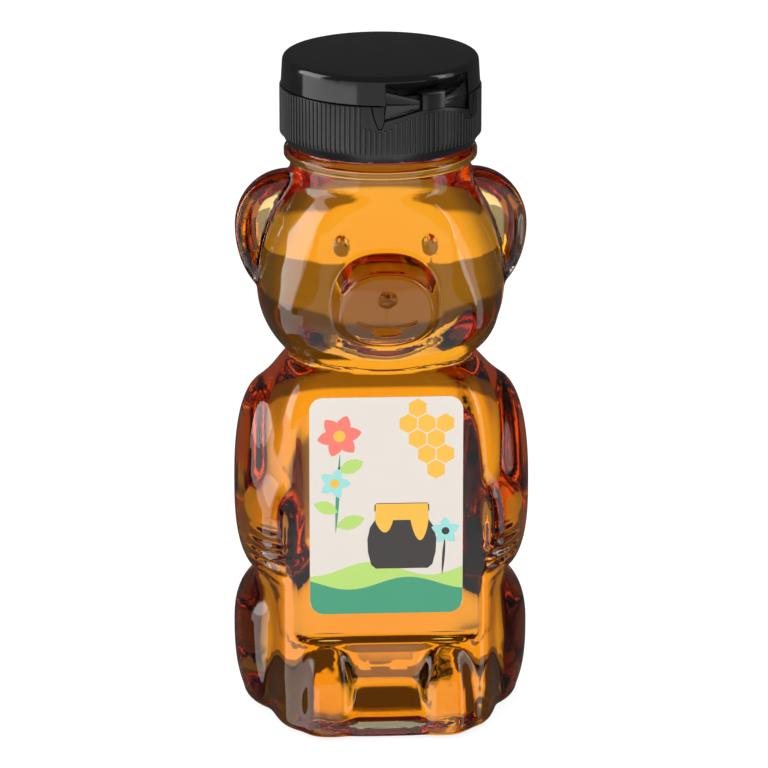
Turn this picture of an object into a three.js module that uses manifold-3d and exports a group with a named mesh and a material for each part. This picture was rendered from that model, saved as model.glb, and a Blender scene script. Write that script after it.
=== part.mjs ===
// Honey bear bottle: a clear blow-moulded bear full of honey, with a screw closure and a flip lid.
// Millimetres, +Z up. The bear looks along -Y and stands on z = 0, with its neck on the Z axis.
import * as THREE from 'three';
import { mergeGeometries, mergeVertices } from 'three/addons/utils/BufferGeometryUtils.js';
import Module from 'manifold-3d';

const wasm = await Module();
wasm.setup();

// Sizes of the bottle's skin
const skin = { wall: 0.7, leastWall: 0.45, blend: 3.2, crease: 1.6, edge: 0.7 };
const torso = { y: 0.9, z: 36.8, wide: 22.7, deep: 24.7, up: 41.2 };
const panel = { halfWidth: 20.7, front: 22.6, bottom: 20.6, top: 84, corner: 4.5 };
const arm = { x: 22, y: -2.5, z: 47.5, wide: 8.7, deep: 15.5, up: 24.2, down: 18.6, shoulder: 0.8 };
const hand = { x: 20.9, y: -15.2, z: 43.5, wide: 5.6, deep: 7.2, up: 10, down: 9 };
const thigh = { x: 14.5, y: 2.5, z: 15.5, wide: 16.3, deep: 19.5, up: 14.6, down: 22 };
const shin = { x: 14.4, y: -12.5, z: 7, wide: 7.6, deep: 11, up: 13, down: 14 };
const foot = { x: 12.1, y: -18.6, z: 4, wide: 6, deep: 10, up: 17.4, down: 16 };
const rump = { y: 11.2, z: 16, wide: 21, deep: 17.4, up: 17, down: 60 };
const plinth = { y: -6, z: 0, wide: 22.6, deep: 22, up: 15 };
const head = { y: 0.5, z: 90.5, wide: 25.6, deep: 24.7, up: 33, down: 20.6 };
const cheek = { x: 12.5, y: -12, z: 87.5, wide: 10.4, deep: 9.6, up: 11, down: 9 };
const snout = { z: 91.8, wide: 11.2, up: 10.6, down: 8.6, front: 28.3, root: 21, taper: 0.2, power: 2.3 };
const snoutFront = { bulge: 0.012, from: 5, lean: 0.25, round: 1.2 };
const face = { front: 21.2, z: 89, lean: 0.11, round: 1.4 };
const brow = { y: -11.5, z: 106.5, wide: 15.5, deep: 11, up: 9.5, down: 12 };
const ear = { x: 18.7, y: -1.5, z: 103.7, wide: 11.4, deep: 14, up: 11.6, down: 16, front: 3.4, round: 1.4 };
const earCup = { x: 24.4, z: 103.4, wide: 4.6, tall: 8.4, depth: 1.2 };
const footing = { radius: 2.4, pushUp: 1.6, pushSlope: 3.2, ringWidth: 4.6, floor: 1.1 };

// Sizes of the neck
const neck = { radius: 18.6, bore: 15.9, finish: 17.6, land: 131, landEdge: 0.5 };
const bead = { radius: 19.9, height: 1.9, top: 120.1 };
const filling = { level: 122.2, clearance: 0.36 };

// Sizes of the closure
const closure = { bottom: 121.2, seam: 133.4, radius: 20.45, ribs: 120, ribHeight: 0.3 };
const skirt = { threadRoom: 1.35, chamfer: 1.1, chamferRise: 2.3, mouthBevel: 0.5 };
const deck = { thickness: 1.2, collarHeight: 1.7, collarWidth: 0.9, collarGap: 0.45 };
const spout = { orifice: 3.1, tip: 4.3, foot: 6.4, height: 3.5 };
const seal = { thickness: 0.3, ring: 0.6, ringBore: 6.5 };
const lid = { height: 5.9, wall: 1.15, top: 1.2, round: 1.1, draft: 0.35 };
const plug = { radius: 2.75, bore: 1.6, engagement: 1.25, lead: 0.5 };
const thumb = { halfWidth: 7.5, depth: 1.3, drop: 2.4, lip: 0.5, lipHeight: 1.4 };

// Sizes of the living hinge, on the closure's right front
const hinge = { azimuth: 29, halfWidth: 9.9, floor: 16.8, pocketTop: 4.75, pocketBevel: 1 };
const strap = { halfWidth: 2.75, thickness: 0.5, rise: 2.5, drop: 1.2, reach: 20.45 };
const wing = { thickness: 0.4, outerRise: 3, outerDrop: 3, innerRise: 0.9, innerDrop: 0.9, ridge: 0.35 };
const recess = { depth: 1.15 };
const vee = { middle: 10.9, halfWidth: 1.1, tip: 4.6, groove: 0.4, grooveDepth: 0.35 };
const gap = { fit: 0.3, seam: 0.3 };

// Sizes of the label
const label = { halfWidth: 15.75, bottom: 26.1, top: 72.9, corner: 2.9, thickness: 0.2, glue: 0.1 };

// One overrun serves all cuts
const overrun = 5;

// How finely the shapes are drawn
const net = { columns: 56, step: 0.6, halvings: 22, samples: 2000, passes: 6, weld: 1e-5, slack: 1e-9 };
const sides = { closure: 60, spout: 32, seal: 48, labelCorner: 6, lidRound: 4, footing: 3 };

const colours = {
  clear: 0xf4e3c2, honey: 0xd9820f, black: 0x1b1b1c, foil: 0xc9cbce, foam: 0xe9e7e0, paper: 0xfaf3e9,
};

const material = (color, roughness = 0.35, metalness = 0) =>
  new THREE.MeshStandardMaterial({ color, roughness, metalness });

// Polynomial smooth union and smooth cut of two fields
const smoothMin = (a, b, k) => Math.min(a, b) - Math.max(k - Math.abs(a - b), 0) ** 2 / (4 * k);
const smoothMax = (a, b, k) => -smoothMin(-a, -b, k);

// A round or boxy lobe. The powers make its plan and its rise squarer than an ellipse.
const lobe = (size, planPower = 2, risePower = 2, backPower = planPower) => (x, y, z) => {
  const { x: cx = 0, y: cy = 0, z: cz, wide, deep, up, down = up } = size;
  const power = y > cy ? backPower : planPower;
  const plan = (Math.abs((x - cx) / wide) ** power + Math.abs((y - cy) / deep) ** power) ** (1 / power);
  const rise = Math.abs(z - cz) / (z > cz ? up : down);
  return ((plan ** risePower + rise ** risePower) ** (1 / risePower) - 1) * Math.min(wide, deep);
};

// The flat label panel, sunk between raised edges, rounded at its corners
const panelCut = (x, y, z) => {
  const middle = (panel.top + panel.bottom) / 2;
  const half = (panel.top - panel.bottom) / 2;
  const dx = Math.max(Math.abs(x) - panel.halfWidth + panel.corner, 0);
  const dz = Math.max(Math.abs(z - middle) - half + panel.corner, 0);
  return Math.max(Math.hypot(dx, dz) - panel.corner, y + panel.front);
};

// The bear, as a field that is negative inside. Its left side mirrors its right side.
const trunk = lobe(torso, 7, 6, 2.6);
const limbs = [
  lobe(arm, 2.2, 2.6), lobe(hand), lobe(thigh, 2.2, 2.6), lobe(shin, 2.3, 2.4), lobe(rump, 2.6, 2.6),
  lobe(plinth, 3.2, 2),
];
const footLobe = lobe(foot, 2.6, 2.6);
const features = [lobe(cheek), lobe(brow)];
const earLobe = lobe(ear, 2.2);
const headLobe = lobe(head, 2.15);
const neckField = (x, y) => Math.hypot(x, y) - neck.radius;

// The snout is an arch that narrows towards a nearly flat front, which falls back at the chin
const muzzle = (x, y, z) => {
  const { power, taper, root, front, up, down } = snout;
  const share = 1 - taper * Math.min(Math.max((-y - root) / (front - root), 0), 1.2);
  const rise = Math.abs((z - snout.z) / (z > snout.z ? up : down));
  const arch = ((x / snout.wide) ** power + rise ** power) ** (1 / power);
  const chin = Math.max(snout.z + snoutFront.from - z, 0);
  const flat = -(y + front) + snoutFront.bulge * x ** 2 + snoutFront.lean * chin;
  return Math.max(smoothMax((arch / share - 1) * up, flat, snoutFront.round), y);
};

const bear = (px, y, z) => {
  const x = Math.abs(px);
  let body = trunk(x, y, z);
  for (const part of limbs) body = smoothMin(body, part(x, y, z), skin.blend);
  body = smoothMin(body, footLobe(x, y, z), skin.crease);
  body = smoothMax(body, -panelCut(x, y, z), skin.edge);
  let top = headLobe(x, y, z);
  for (const part of features) top = smoothMin(top, part(x, y, z), skin.blend);
  const faceFront = face.front - face.lean * Math.max(z - face.z, 0);
  top = smoothMax(top, -(y + faceFront), face.round);
  top = smoothMin(top, muzzle(x, y, z), skin.edge);
  top = smoothMin(top, smoothMax(earLobe(x, y, z), -(y + ear.front), ear.round), skin.edge);
  if (z > head.z) top = smoothMin(top, neckField(x, y), skin.edge);
  return smoothMin(body, top, skin.edge);
};

// Distance from the axis out to the skin, looking along one azimuth at one height
const reach = Math.hypot(thigh.x + thigh.wide, rump.y + rump.deep);
const skinRadius = (azimuth, z) => {
  const [cos, sin] = [Math.cos(azimuth), Math.sin(azimuth)];
  const inside = (r) => bear(r * cos, r * sin, z) < 0;
  let far = reach;
  while (far > net.step && !inside(far - net.step)) far -= net.step;
  let near = far - net.step;
  for (let i = 0; i < net.halvings; i++) {
    const half = (near + far) / 2;
    if (inside(half)) near = half;
    else far = half;
  }
  return near;
};

// The bottom edge is rounded where the skin meets the table
const footingRadius = (azimuth, z) => {
  const lift = Math.max(footing.radius - z, 0);
  const inset = footing.radius - Math.sqrt(footing.radius ** 2 - lift ** 2);
  return skinRadius(azimuth, Math.max(z, footing.radius)) - inset;
};

// Columns crowd where the plan turns fast: the ears' faces, the panel's edges, the snout and the feet
const crowding = [
  { at: Math.atan2(ear.front, ear.x + ear.wide / 2), width: 0.1, weight: 1.3 },
  { at: Math.atan2(panel.front, panel.halfWidth), width: 0.08, weight: 1.2 },
  { at: Math.atan2(panel.front, foot.x + foot.wide / 2), width: 0.12, weight: 0.7 },
  { at: Math.atan2(panel.front, foot.x - foot.wide), width: 0.08, weight: 1 },
  { at: Math.atan2(snout.front, snout.wide), width: 0.1, weight: 2.2 },
];

const columnAzimuths = () => {
  const { samples } = net;
  const backShare = 0.5;
  const density = (share) => {
    const down = share * Math.PI;
    let sum = down > Math.PI / 2 ? backShare : 1;
    for (const { at, width, weight } of crowding) {
      sum += weight * Math.exp(-(((down - Math.PI / 2 + at) / width) ** 2));
    }
    return sum;
  };
  const total = [0];
  for (let i = 0; i < samples; i++) total.push(total[i] + density((i + 1 / 2) / samples));
  const half = [];
  for (let i = 0, j = 0; i <= net.columns / 2; i++) {
    const wanted = (total[samples] * i) / (net.columns / 2);
    while (j < samples && total[j + 1] < wanted) j++;
    const share = (j + (wanted - total[j]) / (total[j + 1] - total[j] || 1)) / samples;
    half.push(share * Math.PI);
  }
  const right = half.map((turn) => turn - Math.PI / 2);
  const left = half.slice(1, -1).reverse().map((turn) => -Math.PI / 2 - turn);
  return [...right, ...left];
};

// Rings from the table to the neck, with more of them at the creases
const ringHeights = () => {
  const crease = torso.z + torso.up - skin.edge;
  const shoulder = arm.z + arm.shoulder * arm.up;
  const stops = [
    [footing.radius, 0], [foot.z, 1], [foot.z + foot.up, 6], [thigh.z + thigh.up, 4],
    [arm.z, 5], [shoulder, 5], [crease - skin.blend, 2], [crease, 3], [crease + skin.blend, 3],
    [snout.z - snout.down, 2], [snout.z, 2], [snout.z + snout.up * (1 - snout.taper), 3],
    [snout.z + snout.up, 2], [ear.z + ear.up, 5], [bead.top - bead.height - skin.edge, 3],
  ];
  const heights = [stops[0][0]];
  for (let i = 1; i < stops.length; i++) {
    const [from, to, count] = [stops[i - 1][0], stops[i][0], stops[i][1]];
    for (let k = 1; k <= count; k++) heights.push(from + ((to - from) * k) / count);
  }
  return heights;
};

// Ears are cupped on their front faces
const cupEar = (point) => {
  const x = Math.abs(point.x);
  const across = ((x - earCup.x) / earCup.wide) ** 2 + ((point.z - earCup.z) / earCup.tall) ** 2;
  if (across < 1 && point.y < 0 && x > ear.x) point.y += earCup.depth * (1 - across);
  return point;
};

// A skin is rings of points, joined ring to ring, with a fan at an end that lies on the axis
const ringPoint = (azimuth, radius, z) =>
  new THREE.Vector3(radius * Math.cos(azimuth), radius * Math.sin(azimuth), z);

const joinRings = (rings, facesIn = false) => {
  const points = [];
  const faces = [];
  const starts = rings.map((ring) => {
    points.push(...ring);
    return points.length - ring.length;
  });
  for (let r = 0; r + 1 < rings.length; r++) {
    const [low, high] = [rings[r], rings[r + 1]];
    const many = Math.max(low.length, high.length);
    const index = (ring, start, i) => start + Math.floor((i * ring.length) / many + net.slack) % ring.length;
    for (let i = 0; i < many; i++) {
      const [a, b] = [index(low, starts[r], i), index(low, starts[r], i + 1)];
      const [c, d] = [index(high, starts[r + 1], i), index(high, starts[r + 1], i + 1)];
      if (a !== b) faces.push(...(facesIn ? [a, d, b] : [a, b, d]));
      if (c !== d) faces.push(...(facesIn ? [a, c, d] : [a, d, c]));
    }
  }
  const geometry = new THREE.BufferGeometry();
  geometry.setAttribute('position', new THREE.Float32BufferAttribute(points.flatMap((p) => p.toArray()), 3));
  geometry.setIndex(faces);
  return geometry;
};

// The skin's grid: the radius of each column on each ring
const azimuths = columnAzimuths();
const heights = ringHeights();
const radii = heights.map((z) => azimuths.map((azimuth) => skinRadius(azimuth, z)));

// The inner wall uses every second ring and column. Where the skin turns inward between them, the wall's
// corners are drawn in until it clears the skin there too.
const innerRows = heights.map((z, row) => row).filter((row) => row % 2 === 0);
const innerAzimuths = azimuths.filter((azimuth, column) => column % 2 === 0);
const innerRadii = innerRows.map((row) => innerAzimuths.map((azimuth, i) => radii[row][2 * i] - skin.wall));

const drawIn = () => {
  radii.forEach((ring, row) => ring.forEach((radius, column) => {
    const rows = new Set([Math.floor(row / 2), Math.ceil(row / 2)]);
    const columns = new Set([Math.floor(column / 2), Math.ceil(column / 2) % innerAzimuths.length]);
    const corners = [...rows].flatMap((r) => [...columns].map((c) => [r, c]));
    const between = corners.reduce((sum, [r, c]) => sum + innerRadii[r][c], 0) / corners.length;
    const excess = between - (radius - skin.leastWall);
    if (excess > 0) for (const [r, c] of corners) innerRadii[r][c] -= excess;
  }));
};
for (let pass = 0; pass < net.passes; pass++) drawIn();
const floorHeight = footing.pushUp + footing.floor;
const innerRings = (clearance) => innerRows.map((row) => innerAzimuths.map((azimuth, i) => {
  const z = Math.max(heights[row], floorHeight + clearance);
  return cupEar(ringPoint(azimuth, innerRadii[row / 2][i] - clearance, z));
}));

const circle = (list, radius, z) => list.map((azimuth) => ringPoint(azimuth, radius, z));

function buildBottle() {
  const edge = [];
  for (let i = 0; i < sides.footing; i++) {
    const z = footing.radius * (1 - Math.cos((Math.PI / 2) * (i / sides.footing)));
    edge.push(azimuths.map((azimuth) => ringPoint(azimuth, footingRadius(azimuth, z), z)));
  }
  const ringInside = azimuths.map((azimuth) =>
    ringPoint(azimuth, footingRadius(azimuth, 0) - footing.ringWidth, 0));
  const pushTop = azimuths.map((azimuth) =>
    ringPoint(azimuth, footingRadius(azimuth, 0) - footing.ringWidth - footing.pushSlope, footing.pushUp));
  const outside = heights.map((z, row) => azimuths.map((azimuth, column) =>
    cupEar(ringPoint(azimuth, radii[row][column], z))));
  const beadBottom = bead.top - bead.height;
  const finish = [
    circle(azimuths, neck.radius, beadBottom),
    circle(azimuths, bead.radius, beadBottom + bead.height / 3),
    circle(azimuths, bead.radius, bead.top - bead.height / 3),
    circle(azimuths, neck.finish, bead.top),
    circle(azimuths, neck.finish, neck.land - neck.landEdge),
    circle(azimuths, neck.finish - neck.landEdge, neck.land),
  ];
  const mouth = circle(innerAzimuths, neck.bore, neck.land);
  const outerSkin = joinRings([
    [new THREE.Vector3(0, 0, footing.pushUp)], pushTop, ringInside, ...edge, ...outside, ...finish, mouth,
  ]);
  const innerSkin = joinRings([
    [new THREE.Vector3(0, 0, floorHeight)],
    ...innerRings(0),
    circle(innerAzimuths, neck.bore, beadBottom),
    mouth,
  ], true);
  return toGeometry(toSolid(mergeGeometries([outerSkin, innerSkin])));
}

function buildHoney() {
  const { level, clearance } = filling;
  const bottom = floorHeight + clearance;
  return joinRings([
    [new THREE.Vector3(0, 0, bottom)],
    ...innerRings(clearance),
    circle(innerAzimuths, neck.bore - clearance, bead.top - bead.height),
    circle(innerAzimuths, neck.bore - clearance, level),
    [new THREE.Vector3(0, 0, level)],
  ]);
}

// Solids for joining and cutting
const toSolid = (geometry) => {
  const bare = geometry.index ? geometry.clone() : geometry;
  for (const name of Object.keys(bare.attributes)) if (name !== 'position') bare.deleteAttribute(name);
  const merged = mergeVertices(bare, net.weld);
  const mesh = new wasm.Mesh({
    numProp: 3,
    vertProperties: new Float32Array(merged.attributes.position.array),
    triVerts: new Uint32Array(merged.index.array),
  });
  return new wasm.Manifold(mesh);
};

const toGeometry = (solid) => {
  const mesh = solid.getMesh();
  const geometry = new THREE.BufferGeometry();
  geometry.setAttribute('position', new THREE.Float32BufferAttribute(mesh.vertProperties, 3));
  geometry.setIndex(Array.from(mesh.triVerts));
  return geometry;
};

// A revolved outline of [radius, height] points, standing on the Z axis
const turned = (outline, count = sides.closure) => {
  const closed = [...outline, outline[0]].map(([r, z]) => new THREE.Vector2(r, z));
  const geometry = new THREE.LatheGeometry(closed, count);
  geometry.rotateX(Math.PI / 2);
  const area = THREE.ShapeUtils.area(closed.slice(0, -1));
  if (area < 0) throw new Error('an outline runs the wrong way round');
  return toSolid(geometry);
};

// The hinge's own frame: u along the hinge, v outward, z up, turned to the hinge's azimuth
const toHinge = (geometry) => geometry.rotateZ(THREE.MathUtils.degToRad(hinge.azimuth));

// An outline in the hinge's u and z, pushed outward from one depth to another
const hingeBlock = (points, from, to) => {
  const shape = new THREE.Shape(points.map(([u, z]) => new THREE.Vector2(u, z)));
  const geometry = new THREE.ExtrudeGeometry(shape, { depth: to - from, bevelEnabled: false });
  geometry.rotateX(Math.PI / 2);
  geometry.translate(0, -from, closure.seam);
  return toSolid(toHinge(geometry));
};

const innerSkirt = neck.finish + skirt.threadRoom;
const outerSkirt = closure.radius + closure.ribHeight;

// The lower half of the bow tie that the hinge needs free in the base
const bowTie = (grow) => {
  const right = [
    [strap.halfWidth, -wing.innerDrop - grow], [hinge.halfWidth + grow, -wing.outerDrop - grow],
    [hinge.halfWidth + grow, overrun],
  ];
  return [...right, ...right.map(([u, z]) => [-u, z]).reverse()];
};

// The V-shaped tongue beyond each end of the hinge, pointing down from the seam
const tongue = (side, grow) => {
  const points = [
    [-vee.halfWidth - grow, overrun], [-vee.halfWidth - grow, 0], [0, -vee.tip - 2 * grow],
    [vee.halfWidth + grow, 0], [vee.halfWidth + grow, overrun],
  ];
  return points.map(([u, z]) => [side * vee.middle + u, z]);
};

function buildClosureBase() {
  const { bottom, seam, radius, ribs, ribHeight } = closure;
  const top = seam - gap.seam / 2;
  const ribbed = (root, crest, z) => {
    const ring = [];
    for (let i = 0; i < 2 * ribs; i++) ring.push(ringPoint((Math.PI * i) / ribs, i % 2 ? crest : root, z));
    return ring;
  };
  const outside = toSolid(joinRings([
    [new THREE.Vector3(0, 0, bottom)],
    ribbed(radius - skirt.chamfer, radius - skirt.chamfer, bottom),
    ribbed(radius, outerSkirt, bottom + skirt.chamferRise),
    ribbed(radius, outerSkirt, top),
    [new THREE.Vector3(0, 0, top)],
  ]));
  const collarOuter = radius - lid.wall - deck.collarGap;
  const body = outside.add(turned([
    [0, top - deck.thickness], [collarOuter, top - deck.thickness], [collarOuter, top + deck.collarHeight],
    [collarOuter - deck.collarWidth, top + deck.collarHeight], [collarOuter - deck.collarWidth, top],
    [spout.foot, top], [spout.tip, top + spout.height], [0, top + spout.height],
  ]));
  const underside = seam - gap.seam / 2 - deck.thickness;
  const hollow = turned([
    [0, bottom - overrun], [innerSkirt + skirt.mouthBevel, bottom - overrun],
    [innerSkirt + skirt.mouthBevel, bottom], [innerSkirt, bottom + skirt.mouthBevel], [innerSkirt, underside],
    [0, underside],
  ]);
  const orifice = turned([
    [0, underside - overrun], [spout.orifice, underside - overrun],
    [spout.orifice, top + spout.height + overrun], [0, top + spout.height + overrun],
  ], sides.spout);
  let solid = body.subtract(hollow).subtract(orifice);
  // The collar stops at the back of the lid's hinge pocket
  const pocketBack = hinge.floor - lid.wall - gap.fit;
  solid = solid.subtract(hingeBlock([
    [-hinge.halfWidth - lid.wall - gap.fit, 0], [hinge.halfWidth + lid.wall + gap.fit, 0],
    [hinge.halfWidth + lid.wall + gap.fit, deck.collarHeight + overrun],
    [-hinge.halfWidth - lid.wall - gap.fit, deck.collarHeight + overrun],
  ], pocketBack, outerSkirt + overrun));
  // The skirt is sunk under the bow tie of the hinge
  const within = (r) => turned([
    [0, bottom - overrun], [r, bottom - overrun], [r, seam + overrun], [0, seam + overrun],
  ]);
  const kept = within(radius - recess.depth);
  solid = solid.subtract(hingeBlock(bowTie(gap.fit), 0, outerSkirt + overrun).subtract(kept));
  // A smooth tongue with a groove round it marks each end of the hinge
  const smooth = within(radius);
  const grooveFloor = within(radius - vee.grooveDepth);
  for (const side of [-1, 1]) {
    const around = hingeBlock(tongue(side, vee.groove), 0, outerSkirt + overrun);
    const inner = hingeBlock(tongue(side, 0), 0, outerSkirt + overrun);
    solid = solid.subtract(around.subtract(smooth)).subtract(around.subtract(inner).subtract(grooveFloor));
  }
  // A scoop opposite the hinge lets a thumb under the lid
  const scoop = hingeBlock([
    [-thumb.halfWidth, overrun], [-thumb.halfWidth / 2, -thumb.drop], [thumb.halfWidth / 2, -thumb.drop],
    [thumb.halfWidth, overrun],
  ], -outerSkirt - overrun, -radius + thumb.depth - closure.ribHeight);
  return toGeometry(solid.subtract(scoop.subtract(within(radius - thumb.depth / 2))));
}

function buildLid() {
  const { seam, radius } = closure;
  const bottom = seam + gap.seam / 2;
  const top = seam + lid.height;
  const upper = radius - lid.draft;
  const arc = [];
  for (let i = 0; i <= sides.lidRound; i++) {
    const turn = (Math.PI / 2) * (i / sides.lidRound);
    arc.push([upper - lid.round * (1 - Math.cos(turn)), top - lid.round * (1 - Math.sin(turn))]);
  }
  const ceiling = top - lid.top;
  const shell = turned([
    [0, ceiling], [radius - lid.wall - lid.draft, ceiling], [radius - lid.wall, bottom], [radius, bottom],
    ...arc, [0, top],
  ]);
  const filled = turned([[0, bottom], [radius, bottom], [upper, top - lid.round], [0, top - lid.round]]);
  const across = hinge.halfWidth + lid.wall;
  const backing = filled.intersect(hingeBlock([
    [-across, -overrun], [across, -overrun], [across, lid.height], [-across, lid.height],
  ], hinge.floor - lid.wall, radius + overrun));
  const pocketSide = hinge.halfWidth;
  const pocket = hingeBlock([
    [-pocketSide, -overrun], [pocketSide, -overrun], [pocketSide, hinge.pocketTop - hinge.pocketBevel],
    [pocketSide - hinge.pocketBevel, hinge.pocketTop], [-pocketSide + hinge.pocketBevel, hinge.pocketTop],
    [-pocketSide, hinge.pocketTop - hinge.pocketBevel],
  ], hinge.floor, radius + overrun);
  const spoutTip = seam - gap.seam / 2 + spout.height;
  const plugTip = spoutTip - plug.engagement;
  const spud = turned([
    [plug.bore, plugTip], [plug.radius - plug.lead / 2, plugTip], [plug.radius, plugTip + plug.lead],
    [plug.radius, ceiling + lid.top / 2], [plug.bore, ceiling + lid.top / 2],
  ], sides.spout);
  const lip = hingeBlock([
    [-thumb.halfWidth / 2, gap.seam / 2], [thumb.halfWidth / 2, gap.seam / 2],
    [thumb.halfWidth / 2, thumb.lipHeight], [-thumb.halfWidth / 2, thumb.lipHeight],
  ], -radius - thumb.lip, -radius + lid.wall);
  return toGeometry(shell.add(backing).subtract(pocket).add(spud).add(lip));
}

// The strap loops from the skirt's outer edge up and back into the lid's pocket
function buildHingeStrap() {
  const { reach, thickness, rise, drop } = strap;
  const back = hinge.floor + gap.fit;
  const low = -drop;
  const bend = thickness;
  const outline = [
    [reach, low], [reach, rise - bend], [reach - bend, rise], [back, rise], [back, rise - thickness],
    [reach - bend - thickness / 2, rise - thickness], [reach - thickness, rise - bend - thickness / 2],
    [reach - thickness, low],
  ];
  const shape = new THREE.Shape(outline.map(([v, z]) => new THREE.Vector2(-v, z)));
  const width = 2 * (strap.halfWidth - gap.fit);
  const geometry = new THREE.ExtrudeGeometry(shape, { depth: width, bevelEnabled: false });
  // The section lies in v and z, so the width runs along u
  const along = new THREE.Matrix4().makeBasis(
    new THREE.Vector3(0, 1, 0), new THREE.Vector3(0, 0, 1), new THREE.Vector3(1, 0, 0));
  geometry.applyMatrix4(along);
  geometry.translate(-width / 2, 0, closure.seam);
  return toGeometry(toSolid(toHinge(geometry)));
}

// A wing is a folded web, tall at its outer end and as low as the strap at its inner end
function buildHingeWing(side) {
  const outer = hinge.halfWidth - gap.fit;
  const inner = strap.halfWidth + gap.fit;
  const reach = (u) => Math.sqrt((closure.radius - wing.ridge / 2) ** 2 - u ** 2);
  const rows = [0, 1 / 3, 2 / 3, 1].map((share) => {
    const u = THREE.MathUtils.lerp(outer, inner, share);
    const rise = THREE.MathUtils.lerp(wing.outerRise, wing.innerRise, share);
    const drop = THREE.MathUtils.lerp(wing.outerDrop, wing.innerDrop, share);
    const fold = wing.ridge * (1 - share);
    const front = [[rise, reach(u) - fold], [0, reach(u)], [-drop, reach(u) - fold]];
    const back = front.map(([z, v]) => [z, v - wing.thickness]).reverse();
    return [...front, ...back].map(([z, v]) => new THREE.Vector3(side * u, -v, closure.seam + z));
  });
  const middle = (row) => row.reduce((sum, p) => sum.add(p), new THREE.Vector3()).divideScalar(row.length);
  const ordered = side > 0 ? [...rows].reverse() : rows;
  return toHinge(joinRings([[middle(ordered[0])], ...ordered, [middle(ordered[ordered.length - 1])]]));
}

// Foil welded to the land of the neck, with a foamed ring on it that stays in the closure
const disc = (inner, outer, bottom, height) => toGeometry(turned([
  [inner, bottom], [outer, bottom], [outer, bottom + height], [inner, bottom + height],
], sides.seal));

function buildLabel() {
  const { halfWidth, corner, thickness, glue } = label;
  const height = label.top - label.bottom;
  const shape = new THREE.Shape();
  shape.absarc(halfWidth - corner, corner, corner, -Math.PI / 2, 0);
  shape.absarc(halfWidth - corner, height - corner, corner, 0, Math.PI / 2);
  shape.absarc(-halfWidth + corner, height - corner, corner, Math.PI / 2, Math.PI);
  shape.absarc(-halfWidth + corner, corner, corner, Math.PI, Math.PI * 1.5);
  const drawing = { depth: thickness, bevelEnabled: false, curveSegments: sides.labelCorner };
  const geometry = new THREE.ExtrudeGeometry(shape, drawing);
  geometry.rotateX(Math.PI / 2);
  geometry.translate(0, -panel.front - glue, label.bottom);
  return geometry;
}

const honeyBear = new THREE.Group();
const add = (name, geometry, look) => {
  const mesh = new THREE.Mesh(geometry, look);
  mesh.name = name;
  honeyBear.add(mesh);
};

add('bottle', buildBottle(), material(colours.clear, 0.08));
add('honey', buildHoney(), material(colours.honey, 0.1));
add('front_label', buildLabel(), material(colours.paper, 0.55));
add('foil_seal', disc(0, neck.finish - neck.landEdge, neck.land, seal.thickness),
  material(colours.foil, 0.3, 0.9));
add('sealing_ring', disc(seal.ringBore, neck.finish, neck.land + seal.thickness, seal.ring),
  material(colours.foam, 0.8));
add('closure_base', buildClosureBase(), material(colours.black, 0.45));
add('flip_lid', buildLid(), material(colours.black, 0.15));
add('hinge_strap', buildHingeStrap(), material(colours.black, 0.3));
add('hinge_wing_left', buildHingeWing(-1), material(colours.black, 0.3));
add('hinge_wing_right', buildHingeWing(1), material(colours.black, 0.3));

export default honeyBear;
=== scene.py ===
# %% [markdown]
# # A honey bear bottle
# A clear squeeze bottle in the shape of a sitting bear, full of honey, with a black screw closure and a
# flip lid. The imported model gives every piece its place. This lesson dresses it: the clear wall, the honey
# inside it, the ribbed closure, its living hinge and the printed label.

# %% Start: load the fixed frame
import math

import bmesh
import bpy
import numpy as np
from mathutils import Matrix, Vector


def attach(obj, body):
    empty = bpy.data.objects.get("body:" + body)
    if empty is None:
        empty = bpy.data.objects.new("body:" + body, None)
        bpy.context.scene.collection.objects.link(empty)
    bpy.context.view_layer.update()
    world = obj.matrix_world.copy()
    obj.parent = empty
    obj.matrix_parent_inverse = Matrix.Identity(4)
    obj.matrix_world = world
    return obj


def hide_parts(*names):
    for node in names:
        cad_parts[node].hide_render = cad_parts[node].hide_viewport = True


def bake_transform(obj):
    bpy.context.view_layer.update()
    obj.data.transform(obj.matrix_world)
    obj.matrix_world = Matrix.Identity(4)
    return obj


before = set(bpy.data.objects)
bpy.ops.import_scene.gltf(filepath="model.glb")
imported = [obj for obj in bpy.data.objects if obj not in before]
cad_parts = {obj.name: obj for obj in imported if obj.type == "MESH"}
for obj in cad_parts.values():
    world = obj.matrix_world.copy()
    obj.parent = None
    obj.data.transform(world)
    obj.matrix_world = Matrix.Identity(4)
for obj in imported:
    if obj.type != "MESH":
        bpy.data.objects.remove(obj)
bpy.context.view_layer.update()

# %% [markdown]
# ## Camera, floor and light
# The bottle was photographed a little from above and from far away, so the lens is long. The picture is
# 768 pixels wide, and at the neck's axis it shows 4.8 of them for each millimetre, which gives the lens.

# %% The camera
MM = 0.001
view_from = {"distance": 1100.0, "elevation": 17.5, "azimuth": -3.0}
picture = {"width": 768.0, "pixels_per_mm": 4.8, "axis_at": 380.5, "aim_at": 386.4, "sensor": 36.0}
sight = {"near": 0.05, "far": 20.0}
aim = Vector((0.0, 0.0, 68.0))


def direction(azimuth, elevation):
    """The unit vector from the object towards a place round it, with azimuth 0 in front."""
    a, e = math.radians(azimuth), math.radians(elevation)
    return Vector((math.sin(a) * math.cos(e), -math.cos(a) * math.cos(e), math.sin(e)))


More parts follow.
